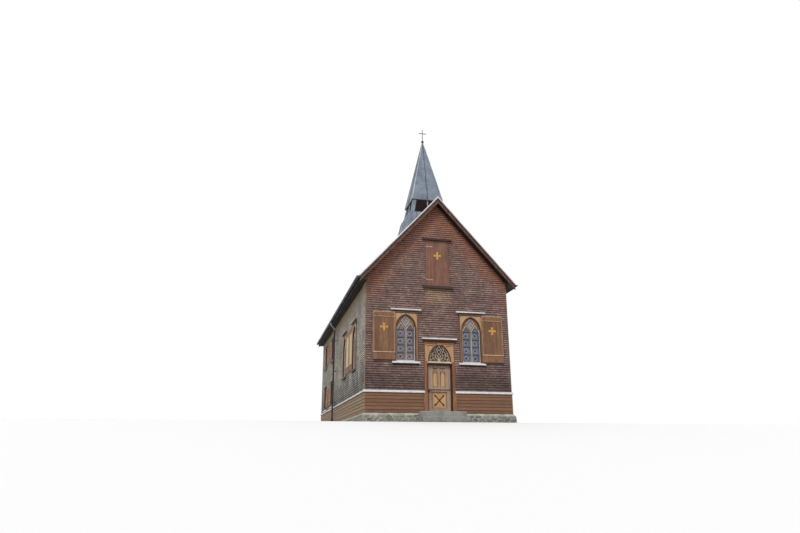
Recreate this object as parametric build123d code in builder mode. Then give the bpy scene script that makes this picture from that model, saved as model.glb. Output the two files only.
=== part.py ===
from build123d import *
import math
import os

# A small timber chapel on a low stone plinth. The origin is on the ground under the middle of
# the front wall's face. +X runs to the right along the front, +Y runs back along the nave.

# Walls and plinth
wall_width = 6400
wall_length = 16500
wall_thickness = 240
wall_joint_rise = 50
plinth_height = 400
plinth_proud = 110
plinth_thickness = 500
plinth_weathering = 90
plinth_joint = 0.6
cut_overrun = 10

# Floors
floor_thickness = 70
upper_floor_top = 3450
upper_floor_thickness = 150
upper_floor_to_rear = 7100
attic_floor_top = 5800
attic_floor_thickness = 160

# Roof
ridge_height = 10020
eave_height = 6130
eave_overhang = 320
verge_overhang = 340
deck_thickness = 150
sheet_thickness = 20
sheet_drip = 35
fascia_thickness = 30
soffit_thickness = 25
barge_depth = 200
barge_thickness = 32
barge_moulding = 45
moulding_proud = 12
verge_trim_depth = 60
verge_trim_thickness = 8
ridge_cap_width = 160
ridge_cap_thickness = 8

# Skirting boards and the sheet metal flashing over them
skirting_height = 835
skirting_courses = 6
board_butt = 32
board_top = 18
flashing_height = 95
flashing_drip = 30
flashing_projection = 76
flashing_lip = 10
corner_gap = 0.6

# Arched windows
window_centre = 1465
window_half = 420
window_sill = 2540
window_spring = 3970
window_rise = 540
window_head = 4640
casing_half = 530
casing_proud = 40
lining_thickness = 30
lining_depth = 100
tracery_setback = 30
tracery_thickness = 35
tracery_stile = 35
mullion_width = 50
lancet_rise = 190
eye_half = 165
eye_low = 40
eye_middle = 285
eye_high = 495
glass_thickness = 8
glass_gap = 0.3
first_side_window = 2850
side_window_spacing = 3100

# Small windows of the two-storey rear bay
small_half = 400
small_casing = 70
small_bar = 40
lower_window_sill = 1520
lower_window_height = 1230
upper_window_below_eave = 1980
upper_window_height = 1130
last_bay_window_to_rear = 2200
rear_bay_spacing = 3300

# Hoods and sills of zinc sheet
hood_half = 670
hood_thickness = 90
hood_projection = 120
hood_fall = 45
hood_lift = 60
sill_half = 605
sill_projection = 110
sill_thickness = 110
sill_fall = 75

# Shutters
shutter_width = 948
shutter_top = 4600
shutter_bottom = 2550
shutter_thickness = 42
shutter_board = 26
shutter_stile = 90
shutter_top_rail = 240
shutter_foot_rail = 330
shutter_clearance = 6
hinge_gap = 12
knuckle_radius = 10
knuckle_sides = 8
knuckle_length = 60
pin_radius = 5.5
pin_sides = 12
pin_clearance = 0.3
pintle_half = 6.5
pintle_arm = 14
shutter_hinge_inset = 260
hinge_x_inset = 55
side_shutter_height = 1100
shutter_gap = 5
cross_half = 165
cross_thickness = 12
cross_waist = 26
cross_flare = 52
cross_drop = 660

# Door
door_casing_half = 670
door_casing_inner = 545
door_casing_proud = 40
door_head = 3340
door_sill = 480
door_wall_half = 600
door_wall_head = 3335
plinth_block_proud = 62
plinth_block_half = 700
transom_low = 2430
transom_high = 2540
door_arch_half = 485
door_arch_rise = 750
stop_inner = 500
stop_front = 40
stop_thickness = 70
leaf_gap = 5
leaf_half = 530
leaf_thickness = 45
leaf_panel_depth = 14
leaf_lancet_half = 92
leaf_lancet_offset = 170
leaf_lancet_low = 1500
leaf_lancet_spring = 2130
leaf_lancet_rise = 110
leaf_square_half = 300
leaf_square_low = 640
leaf_square_high = 1240
saltire_length = 560
saltire_width = 45
saltire_thickness = 8
hinge_pivot_gap = 6
door_hinge_set = 12
tympanum_foot = 10
fan_lift = 60
fan_lights = 5
fan_inner = 90
fan_half_foot = 16
fan_half_top = 46
fan_upright = 115
fan_rise = 45
fan_first_angle = 18
fan_last_angle = 144
roundel_ring = 350
roundel_radius = 66
small_roundels = ((400, 60, 40), (330, 300, 44), (160, 505, 50))
top_roundels = ((560, 58), (665, 34))
roundel_sides = 8
handle_height = 1320
handle_edge = 85
handle_plate_width = 45
handle_plate_height = 220
handle_plate_thickness = 4
handle_length = 110
handle_radius = 9
handle_sides = 12
handle_stand = 45
door_hinge_heights = (760, 1430, 2160)
cornice_height = 130
cornice_projection = 105
cornice_foot_proud = 10
cornice_overlap = 50
cornice_foot_share = 0.35
cornice_crown_share = 0.75
door_hood_half = 765
door_hood_projection = 165

# Steps
step_depth = 380
upper_step_half = 985
upper_step_height = 465
lower_step_half = 985
lower_step_height = 230
step_edge_radius = 18

# Gable hatch
hatch_half = 535
hatch_low = 5850
hatch_high = 7980
hatch_proud = 30
hatch_opening = 450
hatch_hood_half = 680
hatch_hood_thickness = 110
hatch_cross_drop = 710
hatch_rebate = 80
strap_length = 320
strap_width = 34
strap_thickness = 8
strap_inset = 295

# Gutters and downpipes
gutter_radius = 75
gutter_wall = 5
gutter_drop = 15
downpipe_place = 9200
downpipe_radius = 45
pipe_sides = 12
downpipe_clearance = 0.6
outlet_drop = 120
swan_neck_drop = 260
bracket_width = 40
bracket_proud = 8
bracket_heights = (1500, 3200, 4900)
downpipe_boot_radius = 75
downpipe_boot_height = 620

# Turret on the ridge
turret_centre = 2110
base_top_half = 950
base_below_ridge = 190
base_height = 1500
base_batter = 0.22
base_wall = 50
base_cover_angle = 65
base_cover_rise = 290
belfry_height = 740
post_bottom_half = 860
post_top_half = 715
post_width = 170
mid_post_width = 50
spire_half = 766
spire_edge = 35
spire_height = 3450
spire_tip = 25
spire_hollow_height = 2760
spire_wall = 40
spire_soffit_thickness = 30
finial_knob_radius = 65
finial_knob_sides = 8
finial_knob_height = 130
finial_knob_bevel = 28
finial_bar = 26
finial_height = 760
finial_arm_height = 550
finial_arm_half = 190

# Sizes worked out from the ones above
half_width = wall_width / 2
inner_half = half_width - wall_thickness
floor_top = plinth_height + floor_thickness
eave_outer = half_width + eave_overhang
deck_end = eave_outer - fascia_thickness
roof_slope = (ridge_height - eave_height) / eave_outer
roof_angle = math.atan(roof_slope)
roof_build = sheet_thickness + deck_thickness
wall_split = window_head + hood_lift + hood_thickness + wall_joint_rise
side_window_places = (first_side_window, first_side_window + side_window_spacing)
last_bay_window = wall_length - last_bay_window_to_rear
rear_bay_places = (last_bay_window - rear_bay_spacing, last_bay_window)
upper_window_sill = eave_height - upper_window_below_eave
hinge_heights = (shutter_bottom + shutter_hinge_inset, shutter_top - shutter_hinge_inset)
strap_heights = (hatch_high - strap_inset, hatch_low + strap_inset)
base_top = ridge_height - base_below_ridge


def roof_z(x, depth):
    """Height of the roof plane at x, lowered by a depth measured square to the slope."""
    return ridge_height - abs(x) * roof_slope - depth / math.cos(roof_angle)


soffit_height = roof_z(deck_end, roof_build) - soffit_thickness


class PointedArch(BaseSketchObject):
    """An opening with upright sides and a head of two arcs, its foot's middle at the origin."""

    def __init__(self, half, upright, rise, grow=0.0, mode=Mode.ADD):
        radius = (half**2 + rise**2) / (2 * half)
        reach = radius - half
        outer = radius + grow
        side = half + grow
        angle = math.degrees(math.acos(reach / outer))
        with BuildSketch() as outline:
            with BuildLine():
                Polyline((-side, upright), (-side, -grow), (side, -grow), (side, upright))
                CenterArc((-reach, upright), outer, 0, angle)
                CenterArc((reach, upright), outer, 180 - angle, angle)
            make_face()
        super().__init__(obj=outline.sketch, rotation=0, align=None, mode=mode)


class GabledLight(BaseSketchObject):
    """A light with straight sides and a straight-sided point, its foot's middle at the origin."""

    def __init__(self, half_foot, half_top, upright, rise, mode=Mode.ADD):
        with BuildSketch() as outline:
            Polygon(
                (-half_foot, 0),
                (half_foot, 0),
                (half_top, upright),
                (0, upright + rise),
                (-half_top, upright),
                align=None,
            )
        super().__init__(obj=outline.sketch, rotation=0, align=None, mode=mode)


class FlaredCross(BaseSketchObject):
    """A cross of four equal arms that widen towards their ends."""

    def __init__(self, half, waist, flare, mode=Mode.ADD):
        with BuildSketch() as outline:
            with PolarLocations(0, 4):
                Polygon((0, -waist), (half, -flare), (half, flare), (0, waist), align=None)
        super().__init__(obj=outline.sketch, rotation=0, align=None, mode=mode)


def front_plane(y):
    """A sketch plane that faces the viewer of the front, at a distance back from its face."""
    return Plane.XZ.offset(-y)


def side_plane(x):
    """A sketch plane across the building, with +Y to the right and +Z up."""
    return Plane.YZ.offset(x)


def section_plane(y):
    """The building's cross-section, extruded towards +Y."""
    return Plane(origin=(0, y, 0), x_dir=(-1, 0, 0), z_dir=(0, 1, 0))


os.makedirs("parts", exist_ok=True)

# Stone plinth: four runs of rubble masonry with a weathered top edge, butted at the corners.
outer_half = half_width + plinth_proud
outer_length = wall_length + 2 * plinth_proud
inner_length = outer_length - 2 * plinth_thickness
with BuildPart() as plinth:
    with BuildSketch():
        with Locations((0, wall_length / 2)):
            Rectangle(2 * outer_half, outer_length)
            Rectangle(2 * (outer_half - plinth_thickness), inner_length, mode=Mode.SUBTRACT)
    extrude(amount=plinth_height)
    chamfer(plinth.faces().sort_by(Axis.Z)[-1].outer_wire().edges(), length=plinth_weathering)
    with Locations(
        (0, plinth_thickness - plinth_proud, plinth_height / 2),
        (0, wall_length + plinth_proud - plinth_thickness, plinth_height / 2),
    ):
        Box(2 * outer_half + cut_overrun, plinth_joint, plinth_height + cut_overrun, mode=Mode.SUBTRACT)
plinth.part.label = "plinth"
export_step(plinth.part, "parts/plinth.step")

# Door steps: two stone blocks, one before the other.
with BuildPart() as door_steps:
    with BuildSketch(Plane.XY):
        with Locations((0, -plinth_proud - plinth_joint - step_depth / 2)):
            Rectangle(2 * upper_step_half, step_depth)
    extrude(amount=upper_step_height)
    with BuildSketch(Plane.XY):
        with Locations((0, -plinth_proud - 2 * plinth_joint - 1.5 * step_depth)):
            Rectangle(2 * lower_step_half, step_depth)
    extrude(amount=lower_step_height)
    fillet(door_steps.edges().filter_by(Axis.X).group_by(Axis.Z)[-1].sort_by(Axis.Y)[0], radius=step_edge_radius)
door_steps.part.label = "door_steps"
export_step(door_steps.part, "parts/door_steps.step")

# Floors between the walls: the nave's, the rear bay's upper one and the one under the roof.
room_length = wall_length - 2 * wall_thickness
bay_length = upper_floor_to_rear - wall_thickness
with BuildPart() as floors:
    for top, thickness, start, length in (
        (floor_top, floor_thickness, wall_thickness, room_length),
        (upper_floor_top, upper_floor_thickness, wall_length - upper_floor_to_rear, bay_length),
        (attic_floor_top, attic_floor_thickness, wall_thickness, room_length),
    ):
        with BuildSketch(Plane.XY.offset(top - thickness)):
            with Locations((0, start + length / 2)):
                Rectangle(2 * inner_half, length)
        extrude(amount=thickness)
floors.part.label = "floors"
export_step(floors.part, "parts/floors.step")

# Front wall beside the doorway, with an arched window in each half.
window_upright = window_spring - window_sill
for side, name in ((-1, "front_wall_left"), (1, "front_wall_right")):
    with BuildPart() as front_wall:
        with BuildSketch(front_plane(wall_thickness)):
            middle = side * (half_width + door_wall_half) / 2
            with Locations((middle, (plinth_height + wall_split) / 2)):
                Rectangle(half_width - door_wall_half, wall_split - plinth_height)
            with Locations((side * window_centre, window_sill)):
                PointedArch(
                    window_half, window_upright, window_rise, grow=lining_thickness, mode=Mode.SUBTRACT
                )
        extrude(amount=wall_thickness)
    front_wall.part.label = name
    export_step(front_wall.part, f"parts/{name}.step")

with BuildPart() as front_wall_over_door:
    with BuildSketch(front_plane(wall_thickness)):
        with Locations((0, (door_wall_head + wall_split) / 2)):
            Rectangle(2 * door_wall_half, wall_split - door_wall_head)
    extrude(amount=wall_thickness)
front_wall_over_door.part.label = "front_wall_over_door"
export_step(front_wall_over_door.part, "parts/front_wall_over_door.step")

# Gable of the front wall, up to the roof's underside, with the hatch's opening.
hatch_middle = (hatch_low + hatch_high) / 2
with BuildPart() as front_gable:
    with BuildSketch(front_plane(wall_thickness)):
        Polygon(
            (-half_width, wall_split),
            (half_width, wall_split),
            (half_width, roof_z(half_width, roof_build)),
            (0, roof_z(0, roof_build)),
            (-half_width, roof_z(half_width, roof_build)),
            align=None,
        )
        with Locations((0, hatch_middle)):
            Rectangle(2 * hatch_opening, hatch_high - hatch_low - 2 * hatch_rebate, mode=Mode.SUBTRACT)
    extrude(amount=wall_thickness)
front_gable.part.label = "front_gable"
export_step(front_gable.part, "parts/front_gable.step")

# Side walls: two arched windows to the nave and two rows of small ones to the rear bay.
small_rows = (
    (lower_window_sill, lower_window_height),
    (upper_window_sill, upper_window_height),
)
for side, name in ((-1, "left_wall"), (1, "right_wall")):
    with BuildPart() as side_wall:
        with BuildSketch(section_plane(wall_thickness)):
            Polygon(
                (-side * half_width, plinth_height),
                (-side * inner_half, plinth_height),
                (-side * inner_half, roof_z(inner_half, roof_build)),
                (-side * half_width, roof_z(half_width, roof_build)),
                align=None,
            )
        extrude(amount=room_length)
        with BuildSketch(side_plane(0)):
            for place in side_window_places:
                with Locations((place, window_sill)):
                    PointedArch(window_half, window_upright, window_rise, grow=lining_thickness)
            for place in rear_bay_places:
                for sill, height in small_rows:
                    with Locations((place, sill + height / 2)):
                        Rectangle(2 * (small_half + lining_thickness), height + 2 * lining_thickness)
        extrude(amount=side * (half_width + cut_overrun), mode=Mode.SUBTRACT)
    side_wall.part.label = name
    export_step(side_wall.part, f"parts/{name}.step")

# Rear wall and gable in one, with the rear bay's two rows of windows.
with BuildPart() as rear_wall:
    with BuildSketch(front_plane(wall_length)):
        Polygon(
            (-half_width, plinth_height),
            (half_width, plinth_height),
            (half_width, roof_z(half_width, roof_build)),
            (0, roof_z(0, roof_build)),
            (-half_width, roof_z(half_width, roof_build)),
            align=None,
        )
        for sill, height in small_rows:
            with Locations((-window_centre, sill + height / 2), (window_centre, sill + height / 2)):
                opening = 2 * (small_half + lining_thickness)
                Rectangle(opening, height + 2 * lining_thickness, mode=Mode.SUBTRACT)
    extrude(amount=wall_thickness)
rear_wall.part.label = "rear_wall"
export_step(rear_wall.part, "parts/rear_wall.step")

# Arched window frame: a casing on the wall, a lining through it and a tracery of two lancets
# under a diamond light. It is modelled once, at the origin, and placed on each wall.
lancet_half = (window_half - tracery_stile - mullion_width / 2) / 2
lancet_middle = mullion_width / 2 + lancet_half
lancet_foot = tracery_stile
with BuildPart() as arched_frame:
    with BuildSketch(front_plane(0)):
        with Locations((0, (window_head - window_sill) / 2)):
            Rectangle(2 * casing_half, window_head - window_sill)
        PointedArch(window_half, window_upright, window_rise, mode=Mode.SUBTRACT)
    extrude(amount=casing_proud)
    with BuildSketch(front_plane(lining_depth)):
        PointedArch(window_half, window_upright, window_rise, grow=lining_thickness)
        PointedArch(window_half, window_upright, window_rise, mode=Mode.SUBTRACT)
    extrude(amount=lining_depth)
    with BuildSketch(front_plane(tracery_setback + tracery_thickness)):
        PointedArch(window_half, window_upright, window_rise)
        with Locations((-lancet_middle, lancet_foot), (lancet_middle, lancet_foot)):
            lancet_upright = window_upright - lancet_foot
            GabledLight(lancet_half, lancet_half, lancet_upright, lancet_rise, mode=Mode.SUBTRACT)
        with Locations((0, window_upright)):
            Polygon(
                (0, eye_low),
                (eye_half, eye_middle),
                (0, eye_high),
                (-eye_half, eye_middle),
                align=None,
                mode=Mode.SUBTRACT,
            )
    extrude(amount=tracery_thickness)

glass_back = tracery_setback + tracery_thickness + glass_gap + glass_thickness
with BuildPart() as arched_glass:
    with BuildSketch(front_plane(glass_back)):
        PointedArch(window_half, window_upright, window_rise, grow=-glass_gap)
    extrude(amount=glass_thickness)

# Small window frame: a plain casing and lining with one upright and one cross bar.
small_frames = []
small_panes = []
for sill, height in small_rows:
    with BuildPart() as small_frame:
        with BuildSketch(front_plane(0)):
            with Locations((0, height / 2)):
                Rectangle(2 * (small_half + small_casing), height + 2 * small_casing)
                Rectangle(2 * small_half, height, mode=Mode.SUBTRACT)
        extrude(amount=casing_proud)
        with BuildSketch(front_plane(lining_depth)):
            with Locations((0, height / 2)):
                Rectangle(2 * (small_half + lining_thickness), height + 2 * lining_thickness)
                Rectangle(2 * small_half, height, mode=Mode.SUBTRACT)
        extrude(amount=lining_depth)
        with BuildSketch(front_plane(tracery_setback + tracery_thickness)):
            with Locations((0, height / 2)):
                Rectangle(2 * small_half, height)
            with Locations((0, height / 2)):
                with GridLocations(small_half, height / 2, 2, 2):
                    Rectangle(small_half - small_bar, height / 2 - small_bar, mode=Mode.SUBTRACT)
        extrude(amount=tracery_thickness)
    small_frames.append(small_frame.part)
    with BuildPart() as small_pane:
        with BuildSketch(front_plane(glass_back)):
            with Locations((0, height / 2)):
                Rectangle(2 * (small_half - glass_gap), height - 2 * glass_gap)
        extrude(amount=glass_thickness)
    small_panes.append(small_pane.part)


# Where the windows sit: the wall that each is on, and the place and turn of its foot.
wall_turns = (("left", -half_width, -90), ("right", half_width, 90))
arched_places = [("front", Location((side * window_centre, 0, window_sill))) for side in (-1, 1)]
small_places = []
for wall, wall_x, turn in wall_turns:
    for place in side_window_places:
        arched_places.append((wall, Location((wall_x, place, window_sill), (0, 0, turn))))
    for row, (sill, height) in enumerate(small_rows):
        for place in rear_bay_places:
            small_places.append((row, Location((wall_x, place, sill), (0, 0, turn))))
for row, (sill, height) in enumerate(small_rows):
    for side in (-1, 1):
        small_places.append((row, Location((side * window_centre, wall_length, sill), (0, 0, 180))))

for node, walls in (("front_window_frames", ("front",)), ("side_window_frames", ("left", "right"))):
    with BuildPart() as window_frames:
        for wall, place in arched_places:
            if wall in walls:
                add(arched_frame.part.moved(place))
    window_frames.part.label = node
    export_step(window_frames.part, f"parts/{node}.step")

with BuildPart() as rear_bay_window_frames:
    for row, place in small_places:
        add(small_frames[row].moved(place))
rear_bay_window_frames.part.label = "rear_bay_window_frames"
export_step(rear_bay_window_frames.part, "parts/rear_bay_window_frames.step")

# One pane in each window, and one behind the fan over the door.
with BuildPart() as window_glass:
    for wall, place in arched_places:
        add(arched_glass.part.moved(place))
    for row, place in small_places:
        add(small_panes[row].moved(place))
    with BuildSketch(front_plane(glass_back)):
        with Locations((0, transom_high + glass_gap)):
            PointedArch(door_arch_half, tympanum_foot, door_arch_rise, grow=-glass_gap)
    extrude(amount=glass_thickness)
window_glass.part.label = "window_glass"
export_step(window_glass.part, "parts/window_glass.step")

# Hood and sill of folded zinc sheet on a timber core, one of each for every window.
with BuildPart() as hood:
    with BuildSketch(side_plane(-hood_half)):
        Polygon(
            (0, 0),
            (-hood_projection, 0),
            (-hood_projection, hood_thickness - hood_fall),
            (0, hood_thickness),
            align=None,
        )
    extrude(amount=2 * hood_half)

with BuildPart() as sill_piece:
    with BuildSketch(side_plane(-sill_half)):
        Polygon(
            (0, 0),
            (0, -sill_thickness),
            (-sill_projection, -sill_thickness),
            (-sill_projection, -sill_fall),
            align=None,
        )
    extrude(amount=2 * sill_half)

hood_raise = window_head - window_sill + hood_lift
hood_foot = door_head + cornice_height
with BuildPart() as zinc_hoods:
    for wall, place in arched_places:
        add(hood.part.moved(place * Location((0, 0, hood_raise))))
    for row, place in small_places:
        lift = small_rows[row][1] + small_casing
        add(hood.part.moved(place * Location((0, 0, lift))))
    with BuildSketch(side_plane(-door_hood_half)):
        Polygon(
            (0, hood_foot),
            (-door_hood_projection, hood_foot),
            (-door_hood_projection, hood_foot + hood_thickness - hood_fall),
            (0, hood_foot + hood_thickness),
            align=None,
        )
    extrude(amount=2 * door_hood_half)
zinc_hoods.part.label = "zinc_hoods"
export_step(zinc_hoods.part, "parts/zinc_hoods.step")

with BuildPart() as window_sills:
    for wall, place in arched_places:
        add(sill_piece.part.moved(place))
    for row, place in small_places:
        add(sill_piece.part.moved(place * Location((0, 0, -small_casing))))
window_sills.part.label = "window_sills"
export_step(window_sills.part, "parts/window_sills.step")

# Front shutters: boards in a frame with a deep foot rail, hung on pins at the casing's edge.
hinge_x = window_centre + casing_half - hinge_x_inset
hinge_y = -(casing_proud + shutter_clearance + shutter_thickness / 2)
shutter_near = hinge_x + hinge_gap
shutter_far = shutter_near + shutter_width
shutter_middle = (shutter_near + shutter_far) / 2
shutter_height = shutter_top - shutter_bottom
shutter_front = hinge_y - shutter_thickness / 2
recess = shutter_thickness - shutter_board


def shutter_body(height, width, thickness):
    """A framed and boarded shutter, its foot's middle at the origin and its back at y = 0."""
    with BuildPart() as panel:
        with BuildSketch(front_plane(0)):
            with Locations((0, height / 2)):
                Rectangle(width, height)
        extrude(amount=thickness)
        field_height = height - shutter_top_rail - shutter_foot_rail
        with BuildSketch(front_plane(-thickness)):
            with Locations((0, shutter_foot_rail + field_height / 2)):
                Rectangle(width - 2 * shutter_stile, field_height)
        extrude(amount=-recess / 2, mode=Mode.SUBTRACT)
    return panel.part


for side, name in ((-1, "left_shutter"), (1, "right_shutter")):
    with BuildPart() as shutter:
        foot = Location((side * shutter_middle, hinge_y + shutter_thickness / 2, shutter_bottom))
        add(shutter_body(shutter_height, shutter_width, shutter_thickness).moved(foot))
        for height in hinge_heights:
            with BuildSketch(Plane.XY.offset(height)):
                with Locations((side * hinge_x, hinge_y)):
                    RegularPolygon(knuckle_radius, knuckle_sides)
                with Locations((side * (hinge_x + hinge_gap), hinge_y)):
                    Rectangle(2 * hinge_gap, knuckle_radius)
            extrude(amount=knuckle_length)
            with BuildSketch(Plane.XY.offset(height)):
                with Locations((side * hinge_x, hinge_y)):
                    Circle(pin_radius + pin_clearance)
            extrude(amount=knuckle_length, mode=Mode.SUBTRACT)
    shutter.part.label = name
    export_step(shutter.part, f"parts/{name}.step")
    with BuildPart() as shutter_cross:
        with BuildSketch(front_plane(shutter_front + recess / 2)):
            with Locations((side * shutter_middle, shutter_top - cross_drop)):
                FlaredCross(cross_half, cross_waist, cross_flare)
        extrude(amount=cross_thickness)
    shutter_cross.part.label = name + "_cross"
    export_step(shutter_cross.part, f"parts/{name}_cross.step")

# Hinge pins: an arm from the casing with an upright pin, under each knuckle.
door_hinge_x = leaf_half + hinge_pivot_gap
leaf_front = stop_front + stop_thickness + leaf_gap
leaf_back = leaf_front + leaf_thickness
door_hinge_y = leaf_back + door_hinge_set
with BuildPart() as hinge_pins:
    for side in (-1, 1):
        for height in hinge_heights:
            with BuildSketch(Plane.XY.offset(height - pin_clearance - pintle_arm)):
                with Locations((side * hinge_x, (hinge_y - pintle_half - casing_proud) / 2)):
                    Rectangle(2 * pintle_half, pintle_half - hinge_y - casing_proud)
            extrude(amount=pintle_arm)
            with BuildSketch(Plane.XY.offset(height - pin_clearance)):
                with Locations((side * hinge_x, hinge_y)):
                    RegularPolygon(pin_radius, pin_sides)
            extrude(amount=knuckle_length)
    for height in door_hinge_heights:
        with BuildSketch(Plane.XY.offset(height - pin_clearance - pintle_arm)):
            with Locations(((door_hinge_x - pintle_half + door_wall_half) / 2, door_hinge_y)):
                Rectangle(door_wall_half - door_hinge_x + pintle_half, 2 * pintle_half)
        extrude(amount=pintle_arm)
        with BuildSketch(Plane.XY.offset(height - pin_clearance)):
            with Locations((door_hinge_x, door_hinge_y)):
                RegularPolygon(pin_radius, pin_sides)
        extrude(amount=knuckle_length)
hinge_pins.part.label = "hinge_pins"
export_step(hinge_pins.part, "parts/hinge_pins.step")

# Side shutters, open flat on the wall between each pair of windows.
large_shutter = shutter_body(shutter_height, shutter_width, shutter_thickness)
small_shutter = shutter_body(side_shutter_height, shutter_width, shutter_thickness)
with BuildPart() as side_shutters:
    for wall, wall_x, turn in wall_turns:
        for index, place in enumerate(side_window_places):
            shift = (casing_half + shutter_gap + shutter_width / 2) * (1 if index == 0 else -1)
            foot = (wall_x, place + shift, shutter_bottom)
            add(large_shutter.moved(Location(foot, (0, 0, turn))))
        for sill, height in small_rows:
            for index, place in enumerate(rear_bay_places):
                reach = small_half + small_casing + shutter_gap + shutter_width / 2
                foot = (wall_x, place + reach * (1 if index == 0 else -1), sill)
                add(small_shutter.moved(Location(foot, (0, 0, turn))))
side_shutters.part.label = "side_shutters"
export_step(side_shutters.part, "parts/side_shutters.step")

# Door frame: a casing with a pointed head, plinth blocks, a transom, a lining and a stop.
with BuildPart() as door_frame:
    casing_height = door_head - plinth_height
    with BuildSketch(front_plane(0)):
        with Locations((0, plinth_height + casing_height / 2)):
            Rectangle(2 * door_casing_half, casing_height)
        with Locations((0, (plinth_height + transom_high) / 2)):
            Rectangle(2 * door_casing_inner, transom_high - plinth_height, mode=Mode.SUBTRACT)
        with Locations((0, transom_high)):
            PointedArch(door_arch_half, tympanum_foot, door_arch_rise, mode=Mode.SUBTRACT)
    extrude(amount=door_casing_proud)
    with BuildSketch(front_plane(0)):
        block_middle = (plinth_block_half + door_casing_inner) / 2
        with Locations(
            (-block_middle, plinth_height + skirting_height / 2),
            (block_middle, plinth_height + skirting_height / 2),
        ):
            Rectangle(plinth_block_half - door_casing_inner, skirting_height)
    extrude(amount=plinth_block_proud)
    with BuildSketch(front_plane(leaf_back)):
        with Locations((0, (plinth_height + door_wall_head) / 2)):
            Rectangle(2 * door_wall_half, door_wall_head - plinth_height)
        with Locations((0, (door_sill + transom_low) / 2)):
            Rectangle(2 * door_casing_inner, transom_low - door_sill, mode=Mode.SUBTRACT)
        with Locations((0, transom_high)):
            PointedArch(door_arch_half, tympanum_foot, door_arch_rise, mode=Mode.SUBTRACT)
    extrude(amount=leaf_back)
    with BuildSketch(front_plane(stop_front + stop_thickness)):
        with Locations((0, (door_sill + transom_low) / 2)):
            Rectangle(2 * door_casing_inner, transom_low - door_sill)
            Rectangle(2 * stop_inner, transom_low - door_sill, mode=Mode.SUBTRACT)
    extrude(amount=stop_thickness)
door_frame.part.label = "door_frame"
export_step(door_frame.part, "parts/door_frame.step")

# Tympanum over the transom: a fan of pointed lights in a ring of roundels, cut in one board.
with BuildPart() as door_tympanum:
    with BuildSketch(front_plane(tracery_setback + tracery_thickness)):
        with Locations((0, transom_high + glass_gap)):
            PointedArch(door_arch_half, tympanum_foot, door_arch_rise, grow=-glass_gap)
        with Locations((0, transom_high + fan_lift)):
            spread = (fan_lights, fan_first_angle, fan_last_angle)
            with PolarLocations(fan_inner, *spread, endpoint=True):
                with Locations(Rotation(0, 0, -90)):
                    GabledLight(fan_half_foot, fan_half_top, fan_upright, fan_rise, mode=Mode.SUBTRACT)
            with PolarLocations(roundel_ring, *spread, endpoint=True):
                RegularPolygon(roundel_radius, roundel_sides, mode=Mode.SUBTRACT)
        for offset, lift, radius in small_roundels:
            with Locations((-offset, transom_high + lift), (offset, transom_high + lift)):
                RegularPolygon(radius, roundel_sides, mode=Mode.SUBTRACT)
        for lift, radius in top_roundels:
            with Locations((0, transom_high + lift)):
                RegularPolygon(radius, roundel_sides, mode=Mode.SUBTRACT)
    extrude(amount=tracery_thickness)
door_tympanum.part.label = "door_tympanum"
export_step(door_tympanum.part, "parts/door_tympanum.step")

# Cornice: a stepped timber moulding over the casing, under the zinc hood.
with BuildPart() as door_cornice:
    with BuildSketch(side_plane(-door_casing_half - cornice_overlap)):
        with BuildLine():
            Polyline(
                (0, door_head + cornice_height),
                (0, door_head),
                (-door_casing_proud - cornice_foot_proud, door_head),
                (-door_casing_proud - cornice_foot_proud, door_head + cornice_height * cornice_foot_share),
            )
            RadiusArc(
                (-door_casing_proud - cornice_foot_proud, door_head + cornice_height * cornice_foot_share),
                (-cornice_projection, door_head + cornice_height * cornice_crown_share),
                cornice_height,
            )
            Polyline(
                (-cornice_projection, door_head + cornice_height * cornice_crown_share),
                (-cornice_projection, door_head + cornice_height),
                (0, door_head + cornice_height),
            )
        make_face()
    extrude(amount=2 * (door_casing_half + cornice_overlap))
door_cornice.part.label = "door_cornice"
export_step(door_cornice.part, "parts/door_cornice.step")

# Door leaf: two lancet panels over a square one, with a carved saltire, and three hinge straps.
leaf_low = door_sill + leaf_gap
leaf_high = transom_low - leaf_gap
with BuildPart() as door_leaf:
    with BuildSketch(front_plane(leaf_back)):
        with Locations((0, (leaf_low + leaf_high) / 2)):
            Rectangle(2 * leaf_half, leaf_high - leaf_low)
    extrude(amount=leaf_thickness)
    with BuildSketch(front_plane(leaf_front)):
        with Locations((-leaf_lancet_offset, leaf_lancet_low), (leaf_lancet_offset, leaf_lancet_low)):
            leaf_upright = leaf_lancet_spring - leaf_lancet_low
            GabledLight(leaf_lancet_half, leaf_lancet_half, leaf_upright, leaf_lancet_rise)
        with Locations((0, (leaf_square_low + leaf_square_high) / 2)):
            Rectangle(2 * leaf_square_half, leaf_square_high - leaf_square_low)
    extrude(amount=-leaf_panel_depth, mode=Mode.SUBTRACT)
    with BuildSketch(front_plane(leaf_front + leaf_panel_depth)):
        with Locations((0, (leaf_square_low + leaf_square_high) / 2)):
            for turn in (-45, 45):
                Rectangle(saltire_length, saltire_width, rotation=turn)
    extrude(amount=saltire_thickness)
    for height in door_hinge_heights:
        with BuildSketch(Plane.XY.offset(height)):
            with Locations((door_hinge_x, door_hinge_y)):
                RegularPolygon(knuckle_radius, knuckle_sides)
            with Locations((door_hinge_x - strap_length / 2, leaf_back + strap_thickness / 2)):
                Rectangle(strap_length, strap_thickness)
        extrude(amount=knuckle_length)
        with BuildSketch(Plane.XY.offset(height)):
            with Locations((door_hinge_x, door_hinge_y)):
                Circle(pin_radius + pin_clearance)
        extrude(amount=knuckle_length, mode=Mode.SUBTRACT)
door_leaf.part.label = "door_leaf"
export_step(door_leaf.part, "parts/door_leaf.step")

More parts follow.
